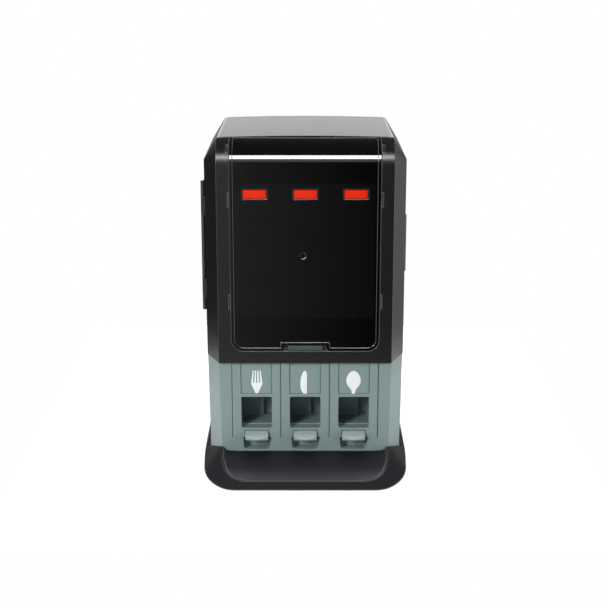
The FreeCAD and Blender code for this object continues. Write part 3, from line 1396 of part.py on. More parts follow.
def build_catch():
    """Steel plate on the door and magnet block on the housing, face to face."""
    plate = new_body("catch_plate")
    add(plate, "front", "split - 6", "split - 3",
        box_outline("side - wall - 13", "side - wall - 1.3", "catch_height - catch_length / 2",
                    "catch_height + catch_length / 2"))
    magnet = new_body("catch_magnet")
    add(magnet, "front", "split - 2.6", "split + 14",
        box_outline("side - wall - 13", "side - wall - 1.3", "catch_height - catch_length / 2 + 1",
                    "catch_height + catch_length / 2 - 1"))
    add(magnet, "front", "split + 2", "split + 14",
        box_outline("side - wall - 12", "side - wall - seat", "catch_height - catch_length / 2 - 5",
                    "catch_height + catch_length / 2 + 5"))
    return plate, magnet


# ---------------------------------------------------------------- fasteners


def build_screws():
    head_level = value("base_floor") + 0.4
    length = value("lower_floor + 11") - head_level
    group("base_screws", [screw(Vector(x, y, head_level), UP, length)
                          for x, y in base_screw_places()])
    start = value("deck_high + seat + wall + seat + head_height")
    group("deck_screws", [screw(Vector(x, y, start), DOWN, start - value("lower_top") + 6)
                          for x, y in deck_screw_places()])
    rear = value("rear_face") - 2
    group("rear_screws", [screw(Vector(x, rear, z), Vector(0, -1, 0), rear - value("cover_split - 11"))
                          for x, z in rear_screw_places()])
    reach = value("side + 2 + seat + head_height")
    group("hinge_screws", [screw(Vector(-reach, value("hinge_y + 10"), value(height)),
                                 Vector(1, 0, 0), reach - value("side - wall + 0.4"))
                           for height in hinge_screw_heights()])


# ---------------------------------------------------------------- the whole dispenser


def build_all():
    build_base()
    build_feet()
    build_lower_housing()
    build_lever_pins()
    build_deck()
    build_flag_bracket()
    build_flag_axle()
    build_upper_housing()
    build_rear_cover()
    build_door_frame()
    build_window_panel()
    build_window_clips()
    build_latch_bar()
    build_latch_spring()
    build_hinge_bracket()
    build_hinge_pin()
    build_catch()
    build_screws()
    for name, number in (("left", -1), ("centre", 0), ("right", 1)):
        middle = f"{number} * pitch"
        build_chute(name, middle)
        build_icon_plate(name, middle)
        build_lever(name, middle)
        build_ejector(name, middle)
        build_tower(name, middle)
        build_follower(name, middle)
        build_flag(name, middle)
        build_lever_spring(name, middle)
    doc.recompute()


def sub_parts():
    """The objects that stand for a piece of the dispenser, by label."""
    kinds = ("PartDesign::Body", "Part::Feature", "Part::Sweep", "Part::Cylinder")
    return {item.Label: item for item in doc.Objects if item.TypeId in kinds}


build_all()
for item in doc.Objects:
    if "Invalid" in item.State or "Error" in item.State:
        raise RuntimeError(f"{item.Label} failed: {item.State}")
for label, item in sub_parts().items():
    if item.Shape.isNull() or not item.Shape.isValid() or not item.Shape.Solids:
        raise RuntimeError(f"{label} has no valid solid")
os.makedirs("parts", exist_ok=True)
for label, item in sub_parts().items():
    item.Shape.exportStep(os.path.join("parts", label + ".step"))
print(len(sub_parts()), "sub-parts written")
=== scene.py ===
import itertools
import math

import bmesh
import bpy
import numpy as np
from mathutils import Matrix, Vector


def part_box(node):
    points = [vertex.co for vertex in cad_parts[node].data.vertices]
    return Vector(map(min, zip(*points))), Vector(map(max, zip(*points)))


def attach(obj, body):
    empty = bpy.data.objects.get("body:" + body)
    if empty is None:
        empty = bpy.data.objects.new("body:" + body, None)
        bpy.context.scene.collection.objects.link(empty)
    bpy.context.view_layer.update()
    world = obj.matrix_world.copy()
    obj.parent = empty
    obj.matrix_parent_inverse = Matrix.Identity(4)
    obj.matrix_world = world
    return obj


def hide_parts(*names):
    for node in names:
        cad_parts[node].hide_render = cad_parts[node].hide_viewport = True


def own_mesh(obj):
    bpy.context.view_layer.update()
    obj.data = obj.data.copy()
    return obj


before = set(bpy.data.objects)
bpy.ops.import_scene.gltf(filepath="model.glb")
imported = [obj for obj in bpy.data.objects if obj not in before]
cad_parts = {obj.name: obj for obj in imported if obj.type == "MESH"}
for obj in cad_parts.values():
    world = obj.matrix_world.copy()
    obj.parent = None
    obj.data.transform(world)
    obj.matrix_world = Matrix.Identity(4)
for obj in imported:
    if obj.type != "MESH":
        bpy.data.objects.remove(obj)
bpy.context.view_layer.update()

bl_info = {
    "name": "Cutlery Dispenser Looks",
    "version": (1, 0, 0),
    "blender": (4, 5, 0),
    "location": "View3D > Sidebar > Dispenser",
    "description": "Finishes, prints, springs and screws of a counter-top cutlery dispenser",
    "category": "Object",
}

MM = 0.001
SYMBOL_PARTS = 33.0  # a symbol's height in the parts that its shape is written in
SIDES = ("left", "centre", "right")
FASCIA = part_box("chute_left")[0].y + 3 * MM  # just behind the face of the mouths
WHITE = (1.0, 1.0, 1.0, 1.0)
BLACK = (0.0, 0.0, 0.0, 1.0)
CALM, LIVELY = 0.3, 0.7  # the span that a noise seldom leaves
BEVEL_SAMPLES = 8
FLOW_MM = 70.0  # slow changes of shade, from the flow of the melt
SMOOTH, NATURAL, FINE = 1.0, 2.0, 3.0  # octaves of a noise


# ---------------------------------------------------------------- colours and nodes


def linear(code):
    """Linear colour of an sRGB hex code."""
    parts = [int(code[at:at + 2], 16) / 255 for at in (1, 3, 5)]
    return tuple(part / 12.92 if part <= 0.04045 else ((part + 0.055) / 1.055) ** 2.4
                 for part in parts)


def shade(colour, factor=1.0):
    """Colour made lighter or darker, with the alpha that a socket wants."""
    return tuple(min(part * factor, 1.0) for part in colour) + (1.0,)


def node(tree, kind, inputs=None, **settings):
    """Adds a node with its settings and inputs: numbers, sockets, or nodes (their first output)."""
    made = tree.nodes.new(kind)
    for key, setting in settings.items():
        setattr(made, key, setting)
    for key, source in (inputs or {}).items():
        if isinstance(source, bpy.types.Node):
            source = next(socket for socket in source.outputs if socket.enabled)
        if isinstance(source, bpy.types.NodeSocket):
            tree.links.new(source, made.inputs[key])
        else:
            made.inputs[key].default_value = source
    return made


def new_material(name):
    """Empty node material and its tree."""
    material = bpy.data.materials.new(name)
    material.use_nodes = True
    material.node_tree.nodes.clear()
    return material, material.node_tree


def finish_surface(tree, colour, roughness, normal, **constants):
    """Principled surface, its constants set on its own sockets."""
    inputs = {"Base Color": colour, "Roughness": roughness}
    if normal is not None:
        inputs["Normal"] = normal
    inputs.update({key.replace("_", " "): number for key, number in constants.items()})
    surface = node(tree, "ShaderNodeBsdfPrincipled", inputs)
    node(tree, "ShaderNodeOutputMaterial", {"Surface": surface})


def grain(tree, size_mm, low, high, detail=NATURAL):
    """Pattern of noise lumps size_mm across, stretched to run from low to high."""
    place = node(tree, "ShaderNodeTexCoord").outputs["Object"]
    noise = node(tree, "ShaderNodeTexNoise",
                 {"Vector": place, "Scale": 1 / (size_mm * MM), "Detail": detail})
    return node(tree, "ShaderNodeMapRange", {"Value": noise, "From Min": CALM, "From Max": LIVELY,
                                             "To Min": low, "To Max": high})


def within(source, centre, half, soft):
    """Two ramps whose product is 1 within half of the centre and fades to 0 over soft outside."""
    return [(source, centre - half - soft, centre - half, 0.0, 1.0),
            (source, centre + half, centre + half + soft, 1.0, 0.0)]


def field(tree, *terms):
    """Sum of terms, each a product of ramps (source, start, end, low, high).

    A ramp runs from low to high in a smooth step while its source runs from start to end.
    """
    total = None
    for term in terms:
        product = None
        for source, start, end, low, high in term:
            step = node(tree, "ShaderNodeMapRange",
                        {"Value": source, "From Min": start, "From Max": end,
                         "To Min": low, "To Max": high}, interpolation_type="SMOOTHSTEP")
            product = step if product is None else node(
                tree, "ShaderNodeMath", {0: product, 1: step}, operation="MULTIPLY")
        total = product if total is None else node(
            tree, "ShaderNodeMath", {0: total, 1: product}, operation="ADD")
    return total


def painted_edge_lines(tree, edge, colour, edge_paint, amount):
    """The colour, drawn towards another on edges, where the rounded normal turns away from the
    plain one: painted highlight lines where that colour is pale, painted shadow lines where it is
    dark.
    """
    blunt, sharp = 0.985, 0.92  # cosines of that turn where the painted edge line begins and is full
    plain = node(tree, "ShaderNodeNewGeometry").outputs["Normal"]
    turn = node(tree, "ShaderNodeVectorMath", {0: edge, 1: plain}, operation="DOT_PRODUCT")
    share = field(tree, [(turn, sharp, blunt, amount, 0.0)])
    return node(tree, "ShaderNodeMix", {"Factor": share, "A": colour, "B": shade(edge_paint)},
                data_type="RGBA")


def painted_throat_shade(tree, colour, amount):
    """The colour, darker behind the fascias: painted shade inside the throats, where little light
    reaches.
    """
    reach = 22 * MM
    place = node(tree, "ShaderNodeTexCoord").outputs["Object"]
    depth = node(tree, "ShaderNodeSeparateXYZ", {"Vector": place}).outputs["Y"]
    share = field(tree, [(depth, FASCIA, FASCIA + reach, 0.0, amount)])
    return node(tree, "ShaderNodeMix", {"Factor": share, "A": colour, "B": BLACK},
                data_type="RGBA")


def moulded(name, colour, roughness, grain_mm=0.45, relief_mm=0.012, edge_mm=0.5, edge_paint=None,
            edge_paint_amount=0.5, painted_shade=0.0, **constants):
    """Plastic from a spark-eroded tool, or a coat, ink or rubber with a fine even grain.

    The grain gives the eye a broken highlight, slow shade changes come from the flow of the melt,
    and edges are rounded where the tool was milled. A pale edge colour paints highlight lines along
    the edges and a dark one paints shadow lines; painted shade can darken the inside behind the
    fascias.
    Real grain is 0.05 to 0.1 mm coarse: it is drawn some five times coarser, so that it shows.
    """
    flow, sparkle = 0.05, 0.05  # how much the shade and the roughness vary
    material, tree = new_material(name)
    edge = node(tree, "ShaderNodeBevel", {"Radius": edge_mm * MM}, samples=BEVEL_SAMPLES)
    bump = node(tree, "ShaderNodeBump",
                {"Height": grain(tree, grain_mm, CALM, LIVELY), "Strength": 1.0,
                 "Distance": relief_mm * MM, "Normal": edge})
    body = node(tree, "ShaderNodeMix",
                {"Factor": grain(tree, FLOW_MM, CALM, LIVELY, SMOOTH),
                 "A": shade(colour, 1 - flow), "B": shade(colour, 1 + flow)}, data_type="RGBA")
    # painted edge lines: highlight with a pale colour, shadow with a dark one
    if edge_paint is not None:
        body = painted_edge_lines(tree, edge, body, edge_paint, edge_paint_amount)
    # painted shade inside the throats
    if painted_shade:
        body = painted_throat_shade(tree, body, painted_shade)
    rough = grain(tree, grain_mm, roughness - sparkle, roughness + sparkle)
    finish_surface(tree, body, rough, bump, **constants)
    return material


def plated(name, colour, roughness):
    """Plated or drawn steel: bright, with specks 0.15 mm coarse that soften its reflections."""
    streak_mm, streaks, smoother, rougher = 0.15, 0.08, 0.08, 0.1
    material, tree = new_material(name)
    body = node(tree, "ShaderNodeMix",
                {"Factor": grain(tree, streak_mm, CALM, LIVELY, FINE),
                 "A": shade(colour, 1 - streaks), "B": shade(colour, 1 + streaks)},
                data_type="RGBA")
    rough = grain(tree, streak_mm, roughness - smoother, roughness + rougher, FINE)
    finish_surface(tree, body, rough, None, Metallic=1.0)
    return material


# ---------------------------------------------------------------- settings


def colour_setting(name, code, description):
    """Colour property with an sRGB hex code as its default."""
    return bpy.props.FloatVectorProperty(name=name, description=description, subtype="COLOR",
                                         size=3, min=0.0, max=1.0, default=linear(code))


def length_setting(name, millimetres, description):
    """Length property with a default in millimetres."""
    return bpy.props.FloatProperty(name=name, description=description, default=millimetres * MM,
                                   min=0.0, unit="LENGTH", precision=5)


def number_setting(name, number, description):
    """Plain number that can't be negative, such as a lamp's power."""
    return bpy.props.FloatProperty(name=name, description=description, default=number, min=0.0)


class DispenserFinish(bpy.types.PropertyGroup):
    """Colours of the plastics, metals and inks."""

    housing: colour_setting("Housings", "#0B0B0D", "Black ABS of the housings and the door")
    # painted highlight lines on the edges of the housings and the door
    rim: colour_setting("Highlit edges", "#4A4B4E", "Highlighted edges of the housings and the door")
    # painted highlight lines on the edges of the window clips
    clip: colour_setting("Highlit clips", "#8E9094", "Highlighted edges of the window clips")
    base: colour_setting("Base", "#18181A", "Black ABS of the base")
    # painted light on the floor and wall of the scoop
    scoop_light: colour_setting("Lit_scoop", "#2C2C30", "Brightened floor and wall of the scoop")
    # painted highlight line on the crest and edges of the base
    crest: colour_setting("Highlit crest", "#7C7D82", "Highlighted edges of the base")
    front: colour_setting("Fascias", "#869999", "Grey-green ABS of the lower housing")
    # painted shadow lines along the edges of the symbol plates
    joint_shadow: colour_setting("Shading", "#27302F", "Shadowing in the joints round the symbol plates")
    # painted highlight lines round the mouths and edges of the fascias
    mouth: colour_setting("Highlit mouths", "#AEBDBC", "Highlighted edges of the mouths")
    lever: colour_setting("Levers", "#94A5A4", "Paler ABS of the press levers")
    bar: colour_setting("Release bar", "#3C4543", "Grey-green of the release bar")
    window: colour_setting("Window", "#040405", "Back-painted border of the window panel")
    smoke: colour_setting("Smoked glass", "#0C0C0D", "Smoked middle of the window panel")
    # painted highlight lines on the edges of the window panel
    lip: colour_setting("Highlit lip", "#5C5E62", "Highlighted edges of the window panel")
    flag: colour_setting("Flags", "#F42A04", "Red foil of the stock flags")
    # painted shadow round the red foil of the flags
    flag_edge_shadow: colour_setting("Flag edges", "#2A0602", "Shaded plastic round the red foil")
    ink: colour_setting("Ink", "#F6FAFE", "White ink of the symbols")
    inner: colour_setting("Towers", "#55585A", "Grey polystyrene of the towers and their deck")
    slide: colour_setting("Slides", "#D8D8D2", "White acetal of the stripper slides")
    magnet: colour_setting("Magnet", "#151515", "Black of the magnet catch")
    zinc: colour_setting("Zinc", "#B9BCBF", "Zinc plating of the pins and the catch plate")
    hinge: colour_setting("Hinge", "#161617", "Powder coat of the hinge")
    weight: colour_setting("Weights", "#3F4244", "Enamel of the weights")
    rubber: colour_setting("Feet", "#131313", "Rubber of the feet")
    wire: colour_setting("Springs", "#8D9194", "Drawn spring steel")
    screw: colour_setting("Screws", "#C4C6C8", "Zinc plating of the inner screws")
    oxide: colour_setting("Black screws", "#2A2B2D", "Black oxide of the outer screws")


class DispenserSymbols(bpy.types.PropertyGroup):
    """Sizes of the printed symbols."""

    height: length_setting("Height", 33.3, "Height of each symbol")
    low: length_setting("Lower end", 97.3, "Lower end of each symbol above the counter")
    ink_depth: length_setting("Ink", 0.12, "Thickness of the ink")


class DispenserStage(bpy.types.PropertyGroup):
    """Camera and lamps."""

    camera_height: length_setting("Camera height", 703.0, "Camera above the counter")
    camera_back: length_setting("Camera distance", 1807.0, "Camera in front of the middle")
    camera_left: length_setting("Camera offset", 1.6, "Camera left of the middle")
    pitch: bpy.props.FloatProperty(name="Pitch", description="Camera pitch below the horizon",
                                   default=math.radians(15.35), unit="ROTATION")
    lens: bpy.props.FloatProperty(name="Lens", description="Focal length for a 36 mm sensor",
                                  default=79.2, min=1.0, unit="CAMERA")
    key: number_setting("Key lamp", 20.5, "Power in watts")
    fill: number_setting("Fill lamp", 11.0, "Power in watts")
    top: number_setting("Top lamp", 60.0, "Power in watts")
    strip: number_setting("Strip lamp", 30.0, "Power in watts")
    ambient: number_setting("Ambient", 0.12, "Strength of the white room")


class DispenserSettings(bpy.types.PropertyGroup):
    """Everything a user may change."""

    finish: bpy.props.PointerProperty(type=DispenserFinish)
    symbols: bpy.props.PointerProperty(type=DispenserSymbols)
    stage: bpy.props.PointerProperty(type=DispenserStage)


# ---------------------------------------------------------------- meshes from grids


def grid_faces(rows, columns, wrap=True):
    """Quads between neighbouring rows and columns; wrap joins the last column to the first."""
    down, across = np.meshgrid(np.arange(rows - 1), np.arange(columns if wrap else columns - 1),
                               indexing="ij")
    following = (across + 1) % columns
    corners = (down * columns + across, down * columns + following,
               (down + 1) * columns + following, (down + 1) * columns + across)
    return np.stack(corners, axis=-1).reshape(-1, 4).tolist()


def cap_faces(row_start, columns, centre):
    """Triangles from one closed row to a point."""
    ring = np.arange(columns)
    return np.stack([row_start + ring, row_start + (ring + 1) % columns,
                     np.full(columns, centre)], axis=-1).tolist()


def tube_mesh(rings):
    """Points and faces of a closed skin over a stack of closed rings, with both ends filled."""
    rows, columns, _ = rings.shape
    ends = rings[[0, -1]].mean(axis=1)
    points = np.concatenate([rings.reshape(-1, 3), ends])
    faces = grid_faces(rows, columns)
    faces += cap_faces(0, columns, rows * columns)
    faces += cap_faces((rows - 1) * columns, columns, rows * columns + 1)
    return points, faces


def new_piece(name, skins, body, material):
    """One object from several (points, faces) skins, smooth but for its sharp edges."""
    sharp, no_length = math.radians(35.0), 1e-7
    points, faces, count = [], [], 0
    for skin_points, skin_faces in skins:
        points.append(skin_points)
        faces += [[corner + count for corner in face] for face in skin_faces]
        count += len(skin_points)
    mesh = bpy.data.meshes.new(name)
    mesh.from_pydata(np.concatenate(points).tolist(), [], faces)
    work = bmesh.new()
    work.from_mesh(mesh)
    bmesh.ops.remove_doubles(work, verts=work.verts, dist=no_length)
    bmesh.ops.recalc_face_normals(work, faces=work.faces)
    work.to_mesh(mesh)
    work.free()
    mesh.shade_smooth()
    mesh.set_sharp_from_angle(angle=sharp)
    mesh.materials.append(material)
    piece = bpy.data.objects.new(name, mesh)
    bpy.context.scene.collection.objects.link(piece)
    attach(piece, body)
    return piece


def dress(material, *names):
    """Gives CAD nodes their finish."""
    for name in names:
        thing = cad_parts[name]
        thing.data.materials.clear()
        thing.data.materials.append(material)


def each(stem):
    """Names of the nodes that exist once per tower."""
    return [stem + "_" + side for side in SIDES]


# ---------------------------------------------------------------- plastics


class DISPENSER_OT_mouldings(bpy.types.Operator):
    """Finish the moulded plastics of the housings, base, fascias, levers and flags"""

    bl_idname = "dispenser.mouldings"
    bl_label = "Mouldings"

    def execute(self, context):
        finish = context.scene.dispenser.finish
        # semi-gloss tool: deep black that mirrors soft shapes of the room, with painted highlight
        # lines on its edges
        dress(moulded("abs_black_semi_gloss", finish.housing, 0.25, edge_mm=0.8, edge_paint=finish.rim,
                      edge_paint_amount=0.3), "upper_housing", "rear_cover")
        # fine spark texture: a soft sheen, and painted highlight lines on its edges
        dress(moulded("abs_black_fine_spark_texture", finish.housing, 0.28, edge_mm=1.2,
                      edge_paint=finish.rim, edge_paint_amount=0.8), "door_frame")
        # acetal clips: painted highlight lines on their edges
        dress(moulded("acetal_black_clips_painted_highlight", finish.housing, 0.3, edge_mm=1.0,
                      edge_paint=finish.clip, edge_paint_amount=0.9), "window_clips")
        dress(self.base_with_painted_light(finish), "base_tray")
        # satin grey-green: hardly any gloss, even colour
        satin, dull = 0.42, {"Specular_IOR_Level": 0.2}
        dress(moulded("abs_grey_green_satin", finish.front, satin, edge_mm=0.6, **dull),
              "lower_housing")
        # the same satin, with painted shadow lines along the joints round the plates
        dress(moulded("abs_grey_green_painted_joint_shadow", finish.front, satin, edge_mm=0.9,
                      edge_paint=finish.joint_shadow, edge_paint_amount=0.8, **dull), *each("icon_plate"))
        # the same satin, with painted highlight lines round the mouths and painted shade inside the
        # throats
        dress(moulded("abs_grey_green_satin_throat", finish.front, satin, edge_mm=0.8, painted_shade=0.2,
                      edge_paint=finish.mouth, edge_paint_amount=0.7, **dull), *each("chute"))
        # smoother and paler than the fascias: the tabs catch the light
        dress(moulded("abs_pale_grey_green_satin", finish.lever, 0.4, edge_mm=0.6),
              *each("lever"))
        for name in each("stock_flag"):
            dress(self.red_with_painted_edge_shadow(name, finish), name)
        # the same satin in a dark grey-green
        dress(moulded("abs_dark_grey_green", finish.bar, 0.4, edge_mm=0.4), "latch_bar")
        # plain grey polystyrene, moulded without a texture
        dress(moulded("polystyrene_grey", finish.inner, 0.4), "magazine_deck", "flag_bracket",
              *each("magazine"))
        # waxy white of unfilled acetal
        dress(moulded("acetal_white", finish.slide, 0.35), *each("ejector"))
        # dull black ferrite
        dress(moulded("ferrite_magnet_in_abs", finish.magnet, 0.5), "catch_magnet")
        return {"FINISHED"}

    def base_with_painted_light(self, finish):
        """Coarse spark-textured ABS, with painted light on the scoop.

        The painted light lies where the surface faces the middle of the scoop: none below the
        fascias, where the housing shades the scoop, most at the front and towards the two ends. It
        gives the eye a dull grey bloom on the black. Painted highlight lines run along the crest
        and the edges.
        """
        scoop_middle = (0.0, -120 * MM, 22 * MM)
        away, toward = -1 * MM, 3 * MM  # how far a surface's plane lies from that middle
        front, rear = -150 * MM, -112 * MM
        inner, outer, least = 40 * MM, 100 * MM, 0.55
        blotch_mm, blotchy, busy = 9.0, 0.85, 4.0
        coarse_mm, relief = 0.6, 0.02 * MM
        material, tree = new_material("abs_black_coarse_spark_texture")
        place = node(tree, "ShaderNodeTexCoord").outputs["Object"]
        axes = node(tree, "ShaderNodeSeparateXYZ", {"Vector": place})
        edge = node(tree, "ShaderNodeBevel", {"Radius": 1.3 * MM}, samples=BEVEL_SAMPLES)
        inward = node(tree, "ShaderNodeVectorMath", {0: scoop_middle, 1: place},
                      operation="SUBTRACT")
        normal = node(tree, "ShaderNodeNewGeometry").outputs["Normal"]
        facing = node(tree, "ShaderNodeVectorMath", {0: inward, 1: normal},
                      operation="DOT_PRODUCT")
        outward = node(tree, "ShaderNodeMath", {0: axes.outputs["X"]}, operation="ABSOLUTE")
        # painted light: paler where the surface faces the middle of the scoop, towards the front
        # and the ends, none below the fascias where the housing shades it, broken into blotches
        painted_light = field(tree, [(facing, away, toward, 0.0, 1.0),
                              (axes.outputs["Y"], front, rear, 1.0, 0.0),
                              (outward, inner, outer, least, 1.0),
                              (grain(tree, blotch_mm, 0.0, 1.0, busy), 0.0, 1.0, blotchy, 1.0)])
        colour = node(tree, "ShaderNodeMix", {"Factor": painted_light, "A": shade(finish.base),
                                              "B": shade(finish.scoop_light)}, data_type="RGBA")
        # painted highlight lines along the crest and edges of the base
        colour = painted_edge_lines(tree, edge, colour, finish.crest, 0.9)
        bump = node(tree, "ShaderNodeBump",
                    {"Height": grain(tree, coarse_mm, CALM, LIVELY), "Strength": 1.0,
                     "Distance": relief, "Normal": edge})
        finish_surface(tree, colour, grain(tree, coarse_mm, 0.4, 0.5), bump,
                       Specular_IOR_Level=0.07)
        return material

    def red_with_painted_edge_shadow(self, name, finish):
        """Flag red on its face; the red foil stops short of the edges, which stay dark: painted
        shadow of the window's edges round the flag.

        The red gives the eye a clean bright block with a thin dark line round it.
        """
        half_width, half_height, below_top, soft = 14.7 * MM, 5.1 * MM, 9.2 * MM, 1.0 * MM
        grain_mm, relief = 0.8, 0.01 * MM
        material, tree = new_material("abs_red_with_painted_edge_shadow_" + name.split("_")[-1])
        low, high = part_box(name)
        place = node(tree, "ShaderNodeTexCoord").outputs["Object"]
        axes = node(tree, "ShaderNodeSeparateXYZ", {"Vector": place})
        # painted shadow: the red fades to the dark edge colour near the flag's edges
        foil = field(tree, within(axes.outputs["X"], (low.x + high.x) / 2, half_width, soft)
                     + within(axes.outputs["Z"], high.z - below_top, half_height, soft))
        colour = node(tree, "ShaderNodeMix", {"Factor": foil, "A": shade(finish.flag_edge_shadow),
                                              "B": shade(finish.flag)}, data_type="RGBA")
        bump = node(tree, "ShaderNodeBump", {"Height": grain(tree, grain_mm, CALM, LIVELY),
                                             "Distance": relief})
        finish_surface(tree, colour, grain(tree, grain_mm, 0.3, 0.4), bump,
                       Specular_IOR_Level=0.25)
        return material


class DISPENSER_OT_window(bpy.types.Operator):
    """Finish the polished window panel with its back-painted border"""

    bl_idname = "dispenser.window"
    bl_label = "Window"

    # clear field inside the border, and the middle part that gets no painted edge highlight, in
    # millimetres
    half_width = 92.5
    low = 208.0
    high = 391.0
    unhighlit_half = 60.0

    def execute(self, context):
        finish = context.scene.dispenser.finish
        # polycarbonate, smoked and polished: a mirror with faint wipe marks, black behind
        material, tree = new_material("polycarbonate_smoked_polished")
        place = node(tree, "ShaderNodeTexCoord").outputs["Object"]
        axes = node(tree, "ShaderNodeSeparateXYZ", {"Vector": place})
        across, up = axes.outputs["X"], axes.outputs["Z"]
        middle, half = (self.low + self.high) / 2 * MM, (self.high - self.low) / 2 * MM
        crisp, soft = 0.1 * MM, 5 * MM
        smoked = field(tree, within(across, 0.0, self.half_width * MM, crisp)
                       + within(up, middle, half, crisp))
        colour = node(tree, "ShaderNodeMix", {"Factor": smoked, "A": shade(finish.window),
                                              "B": shade(finish.smoke)}, data_type="RGBA")
        edge = node(tree, "ShaderNodeBevel", {"Radius": 1.0 * MM}, samples=BEVEL_SAMPLES)
        # painted highlight lines along the panel's edges, kept off its middle
        unhighlit = field(tree, within(across, 0.0, self.unhighlit_half * MM, soft)
                          + within(up, middle, self.unhighlit_half * MM, soft))
        edge_highlit = painted_edge_lines(tree, edge, colour, finish.lip, 0.45)
        colour = node(tree, "ShaderNodeMix", {"Factor": unhighlit, "A": edge_highlit, "B": colour},
                      data_type="RGBA")
        wipe_mm = 25.0
        finish_surface(tree, colour, grain(tree, wipe_mm, 0.05, 0.09, FINE), edge, IOR=1.58)
        dress(material, "window_panel")
        return {"FINISHED"}


class DISPENSER_OT_metalwork(bpy.types.Operator):
    """Finish the pins, axle, hinge, catch plate, weights and feet"""

    bl_idname = "dispenser.metalwork"
    bl_label = "Metalwork and rubber"

    def execute(self, context):
        finish = context.scene.dispenser.finish
        # zinc: bright grey with a slightly cloudy shine
        dress(plated("steel_zinc_plated", finish.zinc, 0.3), "lever_pins", "flag_axle",
              "hinge_pin", "catch_plate")
        # powder coat: black with a fine orange peel
        dress(moulded("steel_black_powder_coat", finish.hinge, 0.45, grain_mm=0.3),
              "hinge_bracket")
        # stove enamel: even grey, half dull
        dress(moulded("steel_grey_stove_enamel", finish.weight, 0.4), *each("follower"))
        # rubber: dull black, no shine
        dress(moulded("rubber_black", finish.rubber, 0.75, relief_mm=0.03), "rubber_feet")
        return {"FINISHED"}


# ---------------------------------------------------------------- printed symbols


def flat_print(left, right, heights, front, depth):
    """Thin slab between a left and a right edge given at each height: a rectangular section carried
    up the symbol."""
    back = np.full_like(heights, front + depth)
    face = np.full_like(heights, front)
    corners = [(left, face), (right, face), (right, back), (left, back)]
    rings = np.stack([np.stack([x, y, heights], axis=-1) for x, y in corners], axis=1)
    return tube_mesh(rings)


def rounded_ends(share, low_end, high_end):
    """Factor that rounds a shape's ends like quarter circles; the ends are shares of its height."""
    low = np.clip(share / low_end, 0, 1) if low_end else np.ones_like(share)
    high = np.clip((1 - share) / high_end, 0, 1) if high_end else np.ones_like(share)
    return np.sqrt(1 - (1 - low) ** 2) * np.sqrt(1 - (1 - high) ** 2)


def fork_skins(middle, low, height, front, depth):
    """Body that widens in a straight line, and four tines that thin and close up to their tips."""
    part = height / SYMBOL_PARTS
    neck, widening, tine_foot, tine_thinning = 2.3, 5.3, 1.3, 0.6
    pitch_at_foot, closing = 4.2, 1.1
    body_top, tines_low = 0.46, 0.455
    share = np.linspace(0, 1, 40)
    rise = low + share * body_top * height
    along = np.clip((share - 0.08) / 0.8, 0, 1)
    half = (neck + widening * along) * part * rounded_ends(share, 0.08, 0)
    skins = [flat_print(middle - half, middle + half, rise, front, depth)]
    for place in (-1.5, -0.5, 0.5, 1.5):
        tine = low + (tines_low + share * (1 - tines_low)) * height
        centre = middle + place * (pitch_at_foot - closing * share) * part
        half = (tine_foot - tine_thinning * share) * part * rounded_ends(share, 0, 0.06)
        skins.append(flat_print(centre - half, centre + half, tine, front, depth))
    return skins


def knife_skins(middle, low, height, front, depth):
    """Blade with a straight back on the right; its belly is a sine below, a rounder arc above."""
    part = height / SYMBOL_PARTS
    back_line, nose, heel, widest, fullness = 2.3, 2.6, 4.7, 8.8, 2.4
    sine_end, arc_start = 0.33, 0.4
    share = np.linspace(0, 1, 60)
    rise = low + share * height
    back = middle + (back_line - nose * (1 - rounded_ends(share, 0, 0.16))) * part
    above = np.clip((share - arc_start) / (1 - arc_start), 0, 1)
    swell = heel + (widest - heel) * np.sin(share / sine_end * math.pi / 2)
    arc = widest * (1 - above ** fullness) ** (1 / fullness)
    width = np.where(share < sine_end, swell, arc) * part * rounded_ends(share, 0.02, 0)
    return [flat_print(back - width, back, rise, front, depth)]


def spoon_skins(middle, low, height, front, depth):
    """Bowl whose top is an arc of power 1.8, and which runs as a slow cosine into a short stem."""
    part = height / SYMBOL_PARTS
    stem, bowl, fullness, lateness = 2.5, 9.8, 1.8, 1.35
    widest_at, stem_at = 0.586, 0.106
    share = np.linspace(0, 1, 80)
    rise = low + share * height
    above = np.clip((share - widest_at) / (1 - widest_at), 0, 1)
    below = np.clip((widest_at - share) / (widest_at - stem_at), 0, 1) ** lateness
    arc = bowl * (1 - above ** fullness) ** (1 / fullness)
    ease = stem + (bowl - stem) * (0.5 + 0.5 * np.cos(math.pi * below))
    half = np.where(share > widest_at, arc, ease) * part * rounded_ends(share, 0.05, 0)
    return [flat_print(middle - half, middle + half, rise, front, depth)]


class DISPENSER_OT_symbols(bpy.types.Operator):
    """Print a fork, a knife and a spoon on the three plates"""

    bl_idname = "dispenser.symbols"
    bl_label = "Symbols"

    # each side's symbol, and how far it stands right of the plate's middle and below the others,
    # in millimetres
    shapes = {"left": (fork_skins, 0.5, 0.0), "centre": (knife_skins, 0.0, 0.9),
              "right": (spoon_skins, -0.7, 0.9)}
    sunk = 0.05

    def execute(self, context):
        symbols = context.scene.dispenser.symbols
        # pad-printed ink: flat opaque white with the faintest relief
        ink = moulded("ink_white_pad_printed", context.scene.dispenser.finish.ink, 0.5,
                      relief_mm=0.004, edge_mm=0.05)
        for side, (shape, aside, drop) in self.shapes.items():
            low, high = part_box("icon_plate_" + side)
            middle = (low.x + high.x) / 2 + aside * MM
            skins = shape(middle, symbols.low - drop * MM, symbols.height,
                          low.y - symbols.ink_depth, symbols.ink_depth + self.sunk * MM)
            new_piece("symbol_" + side, skins, "dispenser", ink)
        return {"FINISHED"}


# ---------------------------------------------------------------- springs and screws


